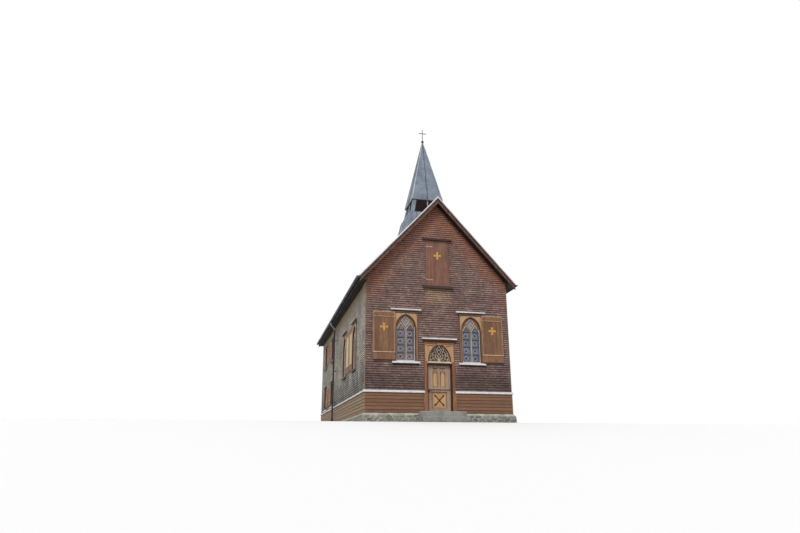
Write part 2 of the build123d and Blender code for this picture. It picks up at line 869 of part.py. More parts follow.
# Door handle: a lever on a long plate, at the edge away from the hinges.
handle_x = handle_edge - leaf_half
lever_y = leaf_front - handle_plate_thickness - handle_stand
with BuildPart() as door_handle:
    with BuildSketch(front_plane(leaf_front)):
        with Locations((handle_x, handle_height)):
            Rectangle(handle_plate_width, handle_plate_height)
    extrude(amount=handle_plate_thickness)
    with BuildSketch(front_plane(leaf_front)):
        with Locations((handle_x, handle_height)):
            RegularPolygon(handle_radius, handle_sides)
    extrude(amount=leaf_front - lever_y)
    with BuildSketch(side_plane(handle_x - handle_radius)):
        with Locations((lever_y, handle_height)):
            RegularPolygon(handle_radius, handle_sides)
    extrude(amount=handle_length)
door_handle.part.label = "door_handle"
export_step(door_handle.part, "parts/door_handle.step")

# Gable hatch: a boarded loading door over its opening, shut, with two strap hinges.
with BuildPart() as gable_hatch:
    with BuildSketch(front_plane(0)):
        with Locations((0, hatch_middle)):
            Rectangle(2 * hatch_half, hatch_high - hatch_low)
    extrude(amount=hatch_proud)
gable_hatch.part.label = "gable_hatch"
export_step(gable_hatch.part, "parts/gable_hatch.step")

with BuildPart() as gable_hatch_cross:
    with BuildSketch(front_plane(-hatch_proud)):
        with Locations((0, hatch_high - hatch_cross_drop)):
            FlaredCross(cross_half, cross_waist, cross_flare)
    extrude(amount=cross_thickness)
gable_hatch_cross.part.label = "gable_hatch_cross"
export_step(gable_hatch_cross.part, "parts/gable_hatch_cross.step")

with BuildPart() as gable_hatch_straps:
    with BuildSketch(front_plane(-hatch_proud)):
        for height in strap_heights:
            with Locations((-hatch_half + strap_length / 2, height)):
                Rectangle(strap_length, strap_width)
    extrude(amount=strap_thickness)
gable_hatch_straps.part.label = "gable_hatch_straps"
export_step(gable_hatch_straps.part, "parts/gable_hatch_straps.step")

with BuildPart() as hatch_hood_and_sill:
    for foot, fall in ((hatch_high, hood_fall), (hatch_low - hatch_hood_thickness, 0)):
        with BuildSketch(side_plane(-hatch_hood_half)):
            Polygon(
                (0, foot),
                (-hood_projection, foot),
                (-hood_projection, foot + hatch_hood_thickness - fall),
                (0, foot + hatch_hood_thickness),
                align=None,
            )
        extrude(amount=2 * hatch_hood_half)
hatch_hood_and_sill.part.label = "hatch_hood_and_sill"
export_step(hatch_hood_and_sill.part, "parts/hatch_hood_and_sill.step")

# Skirting of lapped boards over the plinth, and the flashing that sheds water over it.
course = skirting_height / skirting_courses


def skirting_outline():
    """The lapped boards' profile, from the wall's face outwards."""
    points = [(0, plinth_height)]
    for step in range(skirting_courses):
        points.append((-board_butt, plinth_height + step * course))
        points.append((-board_top, plinth_height + (step + 1) * course))
    points.append((0, plinth_height + skirting_height))
    return points


def flashing_outline():
    """The flashing's profile: a sloping top, a drip and a flat underside on the boards."""
    foot = plinth_height + skirting_height
    return [
        (0, foot),
        (flashing_lip - flashing_projection, foot),
        (flashing_lip - flashing_projection, foot - flashing_lip),
        (-flashing_projection, foot - flashing_lip),
        (-flashing_projection, foot + flashing_drip),
        (0, foot + flashing_height),
    ]


def wall_run(outline, start, end, wall):
    """A profile drawn square to a wall's face and run along that wall from start to end."""
    with BuildPart() as run:
        with BuildSketch(Plane.YZ.offset(start)):
            Polygon(*outline, align=None)
        extrude(amount=end - start)
    turns = {
        "front": Location(),
        "left": Location((-half_width, 0, 0), (0, 0, -90)),
        "right": Location((half_width, 0, 0), (0, 0, 90)),
        "rear": Location((0, wall_length, 0), (0, 0, 180)),
    }
    return run.part.moved(turns[wall])


for name, outline, proud, door_edge in (
    ("skirting_boards", skirting_outline(), board_butt, plinth_block_half),
    ("water_table", flashing_outline(), flashing_projection, door_casing_half),
):
    with BuildPart() as band:
        add(wall_run(outline, -half_width - proud, -door_edge - corner_gap, "front"))
        add(wall_run(outline, door_edge + corner_gap, half_width + proud, "front"))
        add(wall_run(outline, -wall_length + corner_gap, -corner_gap, "left"))
        add(wall_run(outline, corner_gap, wall_length - corner_gap, "right"))
        add(wall_run(outline, -half_width - proud, half_width + proud, "rear"))
    band.part.label = name
    export_step(band.part, f"parts/{name}.step")

# Roof: a boarded deck on each slope, sheet metal over it, and boxed eaves.
deck_length = wall_length + 2 * verge_overhang


for name, side, far, top, bottom in (
    ("roof_deck_left", -1, deck_end, sheet_thickness, roof_build),
    ("roof_deck_right", 1, deck_end, sheet_thickness, roof_build),
    ("roof_sheet_left", -1, eave_outer + sheet_drip, 0, sheet_thickness),
    ("roof_sheet_right", 1, eave_outer + sheet_drip, 0, sheet_thickness),
):
    with BuildPart() as slope:
        with BuildSketch(section_plane(-verge_overhang)):
            Polygon(
                (0, roof_z(0, top)),
                (-side * far, roof_z(far, top)),
                (-side * far, roof_z(far, bottom)),
                (0, roof_z(0, bottom)),
                align=None,
            )
        extrude(amount=deck_length)
    slope.part.label = name
    export_step(slope.part, f"parts/{name}.step")

with BuildPart() as boxed_eaves:
    for side in (-1, 1):
        with BuildSketch(section_plane(-verge_overhang)):
            Polygon(
                (-side * half_width, soffit_height),
                (-side * eave_outer, soffit_height),
                (-side * eave_outer, roof_z(eave_outer, sheet_thickness)),
                (-side * deck_end, roof_z(deck_end, sheet_thickness)),
                (-side * deck_end, roof_z(deck_end, roof_build)),
                (-side * half_width, roof_z(half_width, roof_build)),
                align=None,
            )
        extrude(amount=deck_length)
boxed_eaves.part.label = "boxed_eaves"
export_step(boxed_eaves.part, "parts/boxed_eaves.step")

# Bargeboards on both gables, each with a moulding along its lower edge, and the verge trim.
barge_low = sheet_thickness + barge_depth
with BuildPart() as bargeboards:
    for start, outwards in ((-verge_overhang, -1), (wall_length + verge_overhang, 1)):
        for side in (-1, 1):
            near = corner_gap
            with BuildSketch(section_plane(start)):
                Polygon(
                    (-side * near, roof_z(near, sheet_thickness)),
                    (-side * eave_outer, roof_z(eave_outer, sheet_thickness)),
                    (-side * eave_outer, roof_z(eave_outer, barge_low)),
                    (-side * near, roof_z(near, barge_low)),
                    align=None,
                )
            extrude(amount=outwards * barge_thickness)
            with BuildSketch(section_plane(start + outwards * barge_thickness)):
                Polygon(
                    (-side * near, roof_z(near, barge_low - barge_moulding)),
                    (-side * eave_outer, roof_z(eave_outer, barge_low - barge_moulding)),
                    (-side * eave_outer, roof_z(eave_outer, barge_low)),
                    (-side * near, roof_z(near, barge_low)),
                    align=None,
                )
            extrude(amount=outwards * moulding_proud)
bargeboards.part.label = "bargeboards"
export_step(bargeboards.part, "parts/bargeboards.step")

# Turret: a battered, sheet-clad base that straddles the ridge, with a hipped cover on top.
base_bottom_half = base_top_half + base_height * base_batter
batter_angle = math.degrees(math.atan(base_batter))
with BuildPart() as turret_outline:
    with BuildSketch(Plane.XY.offset(base_top - base_height)):
        with Locations((0, turret_centre)):
            Rectangle(2 * base_bottom_half, 2 * base_bottom_half)
    extrude(amount=base_height, taper=batter_angle)
    with BuildSketch(Plane.XY.offset(base_top)):
        with Locations((0, turret_centre)):
            Rectangle(2 * base_top_half, 2 * base_top_half)
    extrude(amount=base_cover_rise, taper=base_cover_angle)


def roof_body(depth):
    """All that lies under the roof plane lowered by a depth, over the turret's length."""
    with BuildPart() as body:
        with BuildSketch(section_plane(turret_centre - 2 * base_bottom_half)):
            Polygon(
                (-half_width, 0),
                (half_width, 0),
                (half_width, roof_z(half_width, depth)),
                (0, roof_z(0, depth)),
                (-half_width, roof_z(half_width, depth)),
                align=None,
            )
        extrude(amount=4 * base_bottom_half)
    return body.part


with BuildPart() as turret_base:
    add(turret_outline.part)
    with BuildSketch(Plane.XY.offset(base_top - base_height)):
        with Locations((0, turret_centre)):
            Rectangle(2 * (base_bottom_half - base_wall), 2 * (base_bottom_half - base_wall))
    extrude(amount=base_height - base_wall, taper=batter_angle, mode=Mode.SUBTRACT)
    add(roof_body(0), mode=Mode.SUBTRACT)
turret_base.part.label = "turret_base"
export_step(turret_base.part, "parts/turret_base.step")

# Metal trims over the ridge and along the verges.
with BuildPart() as ridge_and_verge_trims:
    for start, outwards in ((-verge_overhang, -1), (wall_length + verge_overhang, 1)):
        for side in (-1, 1):
            near = corner_gap
            far = eave_outer + sheet_drip
            with BuildSketch(section_plane(start + outwards * corner_gap)):
                Polygon(
                    (-side * near, roof_z(near, 0)),
                    (-side * far, roof_z(far, 0)),
                    (-side * far, roof_z(far, sheet_thickness)),
                    (-side * near, roof_z(near, sheet_thickness)),
                    align=None,
                )
            extrude(amount=outwards * (barge_thickness + verge_trim_thickness - corner_gap))
            with BuildSketch(section_plane(start + outwards * barge_thickness)):
                Polygon(
                    (-side * near, roof_z(near, sheet_thickness)),
                    (-side * far, roof_z(far, sheet_thickness)),
                    (-side * far, roof_z(far, verge_trim_depth)),
                    (-side * near, roof_z(near, verge_trim_depth)),
                    align=None,
                )
            extrude(amount=outwards * verge_trim_thickness)
    with BuildSketch(section_plane(-verge_overhang)):
        Polygon(
            (0, roof_z(0, 0)),
            (ridge_cap_width, roof_z(ridge_cap_width, 0)),
            (ridge_cap_width, roof_z(ridge_cap_width, -ridge_cap_thickness)),
            (0, roof_z(0, -ridge_cap_thickness)),
            (-ridge_cap_width, roof_z(ridge_cap_width, -ridge_cap_thickness)),
            (-ridge_cap_width, roof_z(ridge_cap_width, 0)),
            align=None,
        )
    extrude(amount=deck_length)
    add(turret_outline.part, mode=Mode.SUBTRACT)
ridge_and_verge_trims.part.label = "ridge_and_verge_trims"
export_step(ridge_and_verge_trims.part, "parts/ridge_and_verge_trims.step")

# Open belfry: four leaning corner posts with a slender post between each pair.
belfry_top = base_top + belfry_height
with BuildPart() as belfry_posts:
    for bottom, top, size in (
        (
            (post_bottom_half - post_width / 2, post_bottom_half - post_width / 2),
            (post_top_half - post_width / 2, post_top_half - post_width / 2),
            post_width,
        ),
        (
            (0, post_bottom_half - mid_post_width / 2),
            (0, post_top_half - mid_post_width / 2),
            mid_post_width,
        ),
    ):
        for turn in range(4):
            turned = Location((0, turret_centre, 0), (0, 0, 90 * turn))
            with BuildSketch(Plane.XY.offset(base_top)):
                with Locations(turned * Location((bottom[0], bottom[1], 0))):
                    Rectangle(size, size)
            with BuildSketch(Plane.XY.offset(belfry_top)):
                with Locations(turned * Location((top[0], top[1], 0))):
                    Rectangle(size, size)
            loft()
    add(turret_outline.part, mode=Mode.SUBTRACT)
    add(roof_body(-ridge_cap_thickness), mode=Mode.SUBTRACT)
belfry_posts.part.label = "belfry_posts"
export_step(belfry_posts.part, "parts/belfry_posts.step")

# Spire: a steep pyramid of sheet metal with a short upright edge, over a boarded soffit.
spire_taper = math.degrees(math.atan((spire_half - spire_tip) / spire_height))
with BuildPart() as spire_soffit:
    with BuildSketch(Plane.XY.offset(belfry_top)):
        with Locations((0, turret_centre)):
            Rectangle(2 * (spire_half - spire_wall), 2 * (spire_half - spire_wall))
    extrude(amount=spire_soffit_thickness)
spire_soffit.part.label = "spire_soffit"
export_step(spire_soffit.part, "parts/spire_soffit.step")

with BuildPart() as spire:
    with BuildSketch(Plane.XY.offset(belfry_top)):
        with Locations((0, turret_centre)):
            Rectangle(2 * spire_half, 2 * spire_half)
            Rectangle(2 * (spire_half - spire_wall), 2 * (spire_half - spire_wall), mode=Mode.SUBTRACT)
    extrude(amount=spire_edge)
    with BuildSketch(Plane.XY.offset(belfry_top + spire_edge)):
        with Locations((0, turret_centre)):
            Rectangle(2 * spire_half, 2 * spire_half)
    extrude(amount=spire_height, taper=spire_taper)
    with BuildSketch(Plane.XY.offset(belfry_top + spire_edge)):
        with Locations((0, turret_centre)):
            Rectangle(2 * (spire_half - spire_wall), 2 * (spire_half - spire_wall))
    extrude(amount=spire_hollow_height, taper=spire_taper, mode=Mode.SUBTRACT)
spire.part.label = "spire"
export_step(spire.part, "parts/spire.step")

# Finial: a turned sheet metal knob and a plain iron cross on a rod at the spire's tip.
spire_top = belfry_top + spire_edge + spire_height
with BuildPart() as finial_knob:
    with BuildSketch(Plane.XY.offset(spire_top)):
        with Locations((0, turret_centre)):
            RegularPolygon(finial_knob_radius, finial_knob_sides)
    extrude(amount=finial_knob_height)
    levels = finial_knob.faces().sort_by(Axis.Z)
    chamfer(levels[0].edges() + levels[-1].edges(), length=finial_knob_bevel)
with BuildPart() as spire_finial:
    add(finial_knob.part)
    with BuildSketch(Plane.XY.offset(spire_top)):
        with Locations((0, turret_centre)):
            Rectangle(finial_bar, finial_bar)
    extrude(amount=finial_height)
    with BuildSketch(Plane.XY.offset(spire_top + finial_arm_height - finial_bar / 2)):
        with Locations((0, turret_centre)):
            Rectangle(2 * finial_arm_half, finial_bar)
    extrude(amount=finial_bar)
spire_finial.part.label = "spire_finial"
export_step(spire_finial.part, "parts/spire_finial.step")

# Half-round gutters along both eaves, closed at their ends.
gutter_x = eave_outer + gutter_radius + corner_gap
gutter_z = roof_z(eave_outer + sheet_drip, sheet_thickness) - gutter_drop
with BuildPart() as gutters:
    for side in (-1, 1):
        with BuildSketch(section_plane(-verge_overhang)):
            with Locations((-side * gutter_x, gutter_z)):
                Circle(gutter_radius)
                with Locations((0, gutter_radius)):
                    Rectangle(2 * gutter_radius, 2 * gutter_radius, mode=Mode.SUBTRACT)
        extrude(amount=deck_length)
        with BuildSketch(section_plane(gutter_wall - verge_overhang)):
            with Locations((-side * gutter_x, gutter_z)):
                Circle(gutter_radius - gutter_wall)
        extrude(amount=deck_length - 2 * gutter_wall, mode=Mode.SUBTRACT)
gutters.part.label = "gutters"
export_step(gutters.part, "parts/gutters.step")

# Downpipes: a mitred swan neck from the gutter back to the wall, brackets, and a wider boot.
pipe_x = half_width + plinth_proud + downpipe_boot_radius + downpipe_clearance
pipe_top = gutter_z - gutter_radius - corner_gap
with BuildPart() as downpipes:
    for side in (-1, 1):
        with BuildLine():
            Polyline(
                (side * gutter_x, downpipe_place, pipe_top),
                (side * gutter_x, downpipe_place, pipe_top - outlet_drop),
                (side * pipe_x, downpipe_place, pipe_top - outlet_drop - swan_neck_drop),
                (side * pipe_x, downpipe_place, downpipe_boot_height),
            )
        with BuildSketch(Plane.XY.offset(pipe_top)):
            with Locations((side * gutter_x, downpipe_place)):
                RegularPolygon(downpipe_radius, pipe_sides)
        sweep(transition=Transition.RIGHT)
        with BuildSketch(Plane.XY):
            with Locations((side * pipe_x, downpipe_place)):
                RegularPolygon(downpipe_boot_radius, pipe_sides)
        extrude(amount=downpipe_boot_height)
        for height in bracket_heights:
            with BuildSketch(Plane.XY.offset(height)):
                with Locations((side * pipe_x, downpipe_place)):
                    RegularPolygon(downpipe_radius + bracket_proud, pipe_sides)
                with Locations((side * (half_width + pipe_x) / 2, downpipe_place)):
                    Rectangle(pipe_x - half_width, bracket_width)
            extrude(amount=bracket_width)
downpipes.part.label = "downpipes"
export_step(downpipes.part, "parts/downpipes.step")
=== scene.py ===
# A small timber chapel on a stone plinth, built up from the ground. Lengths are in metres.
import math

import bmesh
import bpy
import numpy as np
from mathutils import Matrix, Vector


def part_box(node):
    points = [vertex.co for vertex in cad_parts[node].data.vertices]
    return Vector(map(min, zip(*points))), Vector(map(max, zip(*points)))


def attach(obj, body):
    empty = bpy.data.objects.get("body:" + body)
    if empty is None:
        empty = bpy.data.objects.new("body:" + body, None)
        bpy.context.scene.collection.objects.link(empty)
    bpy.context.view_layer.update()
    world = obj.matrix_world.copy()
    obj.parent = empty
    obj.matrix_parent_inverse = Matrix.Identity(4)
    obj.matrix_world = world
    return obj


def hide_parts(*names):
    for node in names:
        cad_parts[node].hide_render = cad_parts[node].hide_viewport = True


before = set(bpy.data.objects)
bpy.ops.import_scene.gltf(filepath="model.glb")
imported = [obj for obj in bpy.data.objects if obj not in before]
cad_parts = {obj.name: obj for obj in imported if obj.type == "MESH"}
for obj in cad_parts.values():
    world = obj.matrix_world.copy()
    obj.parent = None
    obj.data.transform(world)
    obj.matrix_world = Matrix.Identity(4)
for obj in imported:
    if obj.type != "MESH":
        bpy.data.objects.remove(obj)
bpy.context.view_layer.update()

# Stone plinth. Field stones laid in lime mortar round the building's foot, each face left a
# little proud of its joints, with a sloping mortar ledge on top that sheds the water.


def srgb(level):
    """A colour given as a screen's levels, 0 to 255, turned into the linear light a shader takes."""
    level = np.array(level) / 255
    return (*np.where(level <= 0.04045, level / 12.92, ((level + 0.055) / 1.055) ** 2.4), 1)


class Field:
    """One output of a node. Python's operators on it add Math nodes."""

    def __init__(self, nodes, socket):
        self.nodes, self.socket = nodes, socket

    def math(self, operation, *values):
        return self.nodes.add("Math", {"operation": operation}, dict(enumerate(values)))

    __add__ = __radd__ = lambda self, other: self.math("ADD", self, other)
    __mul__ = __rmul__ = lambda self, other: self.math("MULTIPLY", self, other)
    __sub__ = lambda self, other: self.math("SUBTRACT", self, other)
    __rsub__ = lambda self, other: self.math("SUBTRACT", other, self)
    __truediv__ = lambda self, other: self.math("DIVIDE", self, other)
    __gt__ = lambda self, other: self.math("GREATER_THAN", self, other)
    __abs__ = lambda self: self.math("ABSOLUTE", self)
    most = lambda self, other: self.math("MAXIMUM", self, other)
    least = lambda self, other: self.math("MINIMUM", self, other)


class Nodes:
    """A tree of shader nodes. Colours are written in a screen's levels."""

    def __init__(self, tree):
        self.tree = tree

    def add(self, kind, settings, sockets, out=0):
        """Adds a node: its type, its settings first, then the values or links of its sockets."""
        node = self.tree.nodes.new("ShaderNode" + kind)
        for key, value in settings.items():
            if key == "stops":
                elements = node.color_ramp.elements
                while len(elements) < len(value):
                    elements.new(0.5)
                for element, (position, colour) in zip(elements, value):
                    element.position, element.color = position, srgb(colour)
            else:
                setattr(node, key, value)
        for key, value in sockets.items():
            if isinstance(value, Field):
                self.tree.links.new(value.socket, node.inputs[key])
            else:
                node.inputs[key].default_value = srgb(value) if node.inputs[key].type == "RGBA" else value
        if isinstance(out, tuple):
            return [Field(self, node.outputs[name]) for name in out]
        return Field(self, node.outputs[out])


class Finish(Nodes):
    """One finish of the building: a material with its colour, roughness and relief from nodes."""

    def __init__(self, name, **constants):
        self.material = bpy.data.materials.new(name)
        self.material.use_nodes = True
        super().__init__(self.material.node_tree)
        self.shader = self.tree.nodes["Principled BSDF"]
        for key, value in constants.items():
            self.shader.inputs[key].default_value = value
        self.place = self.add("TexCoord", {}, {}, "Object")
        self.x, self.y, self.z = self.add("SeparateXYZ", {}, {0: self.place}, (0, 1, 2))

    def noise(self, scale, detail=3.0, rough=0.6):
        """Cloudy noise round 0.5, spread so that it covers most of 0 to 1. A scale for each axis
        draws it out into fibres, streaks or courses."""
        place = self.place
        if isinstance(scale, tuple):
            place, scale = self.add("VectorMath", {"operation": "MULTIPLY"}, {0: place, 1: scale}), 1.0
        sockets = {"Vector": place, "Scale": scale, "Detail": detail, "Roughness": rough}
        return self.rise(self.add("TexNoise", {}, sockets), 0.3, 0.7)

    def rise(self, field, low, high):
        """Goes smoothly from 0, where the field is low, to 1, where it is high."""
        return self.add("MapRange", {"interpolation_type": "SMOOTHSTEP"}, {0: field, 1: low, 2: high})

    def fall(self, field, low, high):
        """Goes smoothly from 1, where the field is low, to 0, where it is high."""
        return 1.0 - self.rise(field, low, high)

    def dice(self, field, seed=0.0):
        """A random number from 0 to 1 for each whole number that the field passes."""
        whole = self.add("Math", {"operation": "FLOOR"}, {0: field})
        return self.add("TexWhiteNoise", {"noise_dimensions": "1D"}, {1: whole + seed + 0.37})

    def blend(self, first, second, share):
        """From the first colour, at share 0, to the second, at share 1."""
        return self.add("Mix", {"data_type": "RGBA"}, {0: share, 6: first, 7: second}, 2)

    def shade(self, colour, strength):
        """A colour made darker or lighter by a strength round 1."""
        return self.add("VectorMath", {"operation": "SCALE"}, {0: colour, "Scale": strength})

    def mark(self, name):
        """The number that the mesh carries at each point under this name."""
        return self.add("Attribute", {"attribute_name": name}, {}, 2)

    def surface(self, colour, rough=None, relief=None, depth=0.002, strength=0.6):
        """Joins the colour, the roughness and a bump of this depth to the shader."""
        if relief:
            relief = self.add("Bump", {}, {"Strength": strength, "Distance": depth, "Height": relief})
        for key, field in (("Base Color", colour), ("Roughness", rough), ("Normal", relief)):
            if field:
                self.tree.links.new(field.socket, self.shader.inputs[key])
        return self

    def dress(self, *nodes):
        """Puts this finish on parts of the frame that keep their own shape."""
        for node in nodes:
            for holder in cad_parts[node].material_slots:
                holder.material = self.material
        return self


def solid(name, shells, finish, smooth):
    """Joins shells into one object: each is an array of points and arrays of equal polygons."""
    points, faces = [], []
    for places, *groups in shells:
        for group in groups:
            faces += (np.array(group) + len(points)).tolist()
        points += np.reshape(places, (-1, 3)).tolist()
    mesh = bpy.data.meshes.new(name)
    mesh.from_pydata(points, [], faces, shade_flat=not smooth)
    mesh.materials.append(finish.material)
    made = bpy.data.objects.new(name, mesh)
    bpy.context.scene.collection.objects.link(made)
    return made


def piece(name, shells, finish, slot, body="chapel", bevel=0.0, smooth=False, merge=0.0, **marks):
    """Makes a piece from shells, with a number for each point under each mark's name, joins points
    nearer than merge, turns its faces outwards, eases its edges, and lets it ride on a body."""
    made = solid(name, shells, finish, smooth)
    for mark, values in marks.items():
        made.data.attributes.new(mark, "FLOAT", "POINT").data.foreach_set("value", np.ravel(values))
    shell = bmesh.new()
    shell.from_mesh(made.data)
    if merge:
        bmesh.ops.remove_doubles(shell, verts=shell.verts, dist=merge)
    bmesh.ops.recalc_face_normals(shell, faces=shell.faces)
    shell.to_mesh(made.data)
    shell.free()
    if bevel:
        edge = made.modifiers.new("eased edges", "BEVEL")
        edge.width, edge.segments, edge.limit_method = bevel, 1, "ANGLE"
    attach(made, body)
    return made


def drift(u, v, seed):
    """Slow noise from -1 to 1: random heights at whole numbers of u and v, joined smoothly."""
    heights = np.random.default_rng(seed).uniform(-1, 1, (256, 256))
    i, j = np.floor(u).astype(int), np.floor(v).astype(int)
    a, b = u - i, v - j
    a, b = a * a * (3 - 2 * a), b * b * (3 - 2 * b)
    low = heights[i % 256, j % 256] * (1 - a) + heights[(i + 1) % 256, j % 256] * a
    high = heights[i % 256, (j + 1) % 256] * (1 - a) + heights[(i + 1) % 256, (j + 1) % 256] * a
    return low * (1 - b) + high * b


def rubble(u, v, width, height, seed):
    """Field stones: one middle is scattered in each cell of a staggered grid, and a point belongs
    to the nearest. Returns how much further the second is, in cells, and the stone's number."""
    rng = np.random.default_rng(seed)
    scatter = rng.uniform(-0.34, 0.34, (2, 256, 64))
    numbers = rng.uniform(0, 1, (256, 64))
    a, b = u / width, v / height
    i, j = np.floor(a).astype(int), np.floor(b).astype(int)
    reach, owner = [], []
    for across in (-2, -1, 0, 1):
        for up in (-1, 0, 1):
            column, row = i + across, j + up
            at = (column % 256, row % 64)
            middle_u = column + 0.5 + 0.5 * (row % 2) + scatter[0][at]
            middle_v = row + 0.5 + scatter[1][at]
            reach.append(np.hypot(a - middle_u, b - middle_v))
            owner.append(numbers[at])
    reach, owner = np.stack(reach), np.stack(owner)
    order = np.argsort(reach, axis=0)
    nearest, second = (np.take_along_axis(reach, order[k : k + 1], 0)[0] for k in (0, 1))
    return second - nearest, np.take_along_axis(owner, order[:1], 0)[0]


def grid_quads(rows, columns, round_rows=False, round_columns=False):
    """The quads of a grid of points, which may close on itself in either direction."""
    last_row, last_column = rows - (not round_rows), columns - (not round_columns)
    i, j = np.meshgrid(np.arange(last_row), np.arange(last_column), indexing="ij")
    a, b = (i + 1) % rows, (j + 1) % columns
    return np.stack([i * columns + j, a * columns + j, a * columns + b, i * columns + b], -1).reshape(-1, 4)


def tube(points, closed=False):
    """A shell through sections of equal counts of points, joined round or with flat ends."""
    n, m = points.shape[:2]
    sides = grid_quads(n, m, closed, True)
    return (points, sides) if closed else (points, sides, np.array([np.arange(m), np.arange(-m, 0) + n * m]))


plinth_low, plinth_high = (np.array(corner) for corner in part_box("plinth"))
plinth_middle, plinth_half = (plinth_low + plinth_high) / 2, (plinth_high - plinth_low) / 2
plinth_top, ledge, wall_depth, mesh_step = plinth_high[2], 0.09, 0.5, 0.028
face_rows = np.linspace(0.0, plinth_top - ledge, 12)
ledge_rows = ledge * np.arange(1, 4) / 3
inward = np.concatenate([0 * face_rows, ledge_rows, [0.3, wall_depth, wall_depth]])
upward = np.concatenate([face_rows, plinth_top - ledge + ledge_rows, [plinth_top, plinth_top, 0.0]])
columns = []
for out, along in (((0, -1), (1, 0)), ((1, 0), (0, 1)), ((0, 1), (-1, 0)), ((-1, 0), (0, -1))):
    reach, depth = (abs(np.dot(way, plinth_half[:2])) for way in (along, out))
    s = np.arange(-reach, reach - mesh_step / 2, 2 * reach / round(2 * reach / mesh_step))
    columns.append(np.column_stack([s, *(np.full(len(s), part) for part in (reach, depth, *along, *out))]))
columns = np.concatenate(columns)
run = np.cumsum(np.full(len(columns), mesh_step))[:, None] + 0 * inward
height = upward + 0 * run
edge, stone_number = rubble(run + 0.02 * drift(run / 0.1, height / 0.1, 2), height + 0.03, 0.30, 0.125, 4)
bulge = np.clip((edge - 0.06) / 0.3, 0, 1)
bulge = bulge * bulge * (3 - 2 * bulge)
row = np.arange(len(inward))
on_face = (row < len(face_rows)) * np.linspace(1, 0.7, len(inward))
on_ledge = (row >= len(face_rows)) & (row < len(face_rows) + 4)
push = on_face * bulge * (0.026 + 0.01 * drift(run / 0.09, height / 0.09, 3))
push = push + on_ledge * 0.006 * drift(run / 0.12, height / 0.12, 5) - 0.001
inset = inward - push
s, reach, depth, along_x, along_y, out_x, out_y = (columns[:, k : k + 1] for k in range(7))
slide, stand = s * (1 - inset / reach), depth - inset
plinth_points = np.stack([
    plinth_middle[0] + along_x * slide + out_x * stand,
    plinth_middle[1] + along_y * slide + out_y * stand,
    height + 0.004 * on_ledge * drift(run / 0.07, height / 0.07, 6),
], -1)
fieldstone = Finish("fieldstone_in_lime_mortar")
grain, cloud = fieldstone.noise(42.0, 6.0, 0.7), fieldstone.noise(3.1)
stones = [(0.0, (104, 106, 100)), (0.35, (134, 134, 124)), (0.7, (156, 154, 140)), (1.0, (118, 122, 118))]
stone_colour = fieldstone.add("ValToRGB", {"stops": stones}, {0: fieldstone.mark("stone")})
mortar_colour = fieldstone.blend((192, 190, 178), (158, 154, 142), cloud)
in_stone = fieldstone.rise(fieldstone.mark("joint") + grain * 0.12, 0.1, 0.4)
colour = fieldstone.blend(mortar_colour, stone_colour, in_stone)
dry = fieldstone.rise(fieldstone.z + cloud * 0.1, 0.0, 0.22)
colour = fieldstone.shade(colour, (0.72 + grain * 0.42) * (0.7 + dry * 0.3))
fieldstone.surface(colour, 0.75 + cloud * 0.2, grain + cloud * 0.5, 0.004)
on_stone = {"stone": stone_number, "joint": bulge * (on_face > 0)}
shells = [tube(plinth_points, True)]
stonework = piece("plinth_stonework", shells, fieldstone, "stone", smooth=True, **on_stone)
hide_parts("plinth")

# Door steps. Two long blocks of grey stone laid dry, one before the other, with their edges
# worn round by feet and their faces left rough from the chisel.


def worn_block(low, high, seed, edge=0.022, grid=0.045, dent=0.006):
    """A stone block: each point of a box's gridded faces is drawn back to a box set in by the edge
    radius, pushed out again by that radius along its own direction, and moved by slow noise."""
    low, high = np.array(low, float), np.array(high, float)
    half, middle, shells = (high - low) / 2, (high + low) / 2, []
    for axis in range(3):
        others = [k for k in range(3) if k != axis]
        counts = [max(2, int(2 * half[k] / grid)) for k in others]
        spread = [np.sin(np.linspace(-1, 1, n + 1) * math.pi / 2) * half[k] for n, k in zip(counts, others)]
        a, b = np.meshgrid(*spread, indexing="ij")
        for sign in (-1, 1):
            points = np.zeros(a.shape + (3,))
            points[..., others[0]], points[..., others[1]], points[..., axis] = a, b, sign * half[axis]
            core = np.clip(points, edge - half, half - edge)
            away = points - core
            points = core + away / np.maximum(np.linalg.norm(away, axis=-1, keepdims=True), 1e-9) * edge
            x, y, z = np.moveaxis(points + middle, -1, 0)
            lump = drift(x / 0.09 + z * 9, y / 0.09 + z * 5, seed)
            points = middle + points * (1 - dent * (1 + lump[..., None]) / half.max())
            shells.append((points, grid_quads(counts[0] + 1, counts[1] + 1)))
    return shells


step_finish = Finish("chiselled_grey_stone")
chisel = step_finish.noise((26.0, 26.0, 65.0), 6.0, 0.7)
colour = step_finish.blend((128, 127, 124), (158, 155, 148), step_finish.noise(2.4))
step_finish.surface(step_finish.shade(colour, 0.75 + chisel * 0.38), 0.7 + chisel * 0.2, chisel, 0.004)
steps_low, steps_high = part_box("door_steps")
step_split, lower_step_top, joint = (steps_low[1] + steps_high[1]) / 2, 0.23, 0.002
step_blocks = worn_block((steps_low[0], step_split + joint, 0), steps_high, 8)
step_blocks += worn_block(steps_low, (steps_high[0], step_split - joint, lower_step_top), 9)
steps = piece("door_step_stones", step_blocks, step_finish, "step_stone", smooth=True, merge=1e-4)
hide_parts("door_steps")

# Floors. Broad softwood boards, planed and butted, nailed over joists in the nave, the rear bay
# and the loft. They are seen only through the openings.
floor_finish = Finish("bare_floor_boards")
fibre = floor_finish.noise((40.0, 1.6, 40.0), 4.0)
colour = floor_finish.blend((150, 122, 90), (112, 86, 60), fibre)
colour = floor_finish.shade(colour, 0.8 + floor_finish.dice(floor_finish.x / 0.16) * 0.3)
floor_finish.surface(colour, 0.6 + fibre * 0.2, fibre, 0.001).dress("floors")

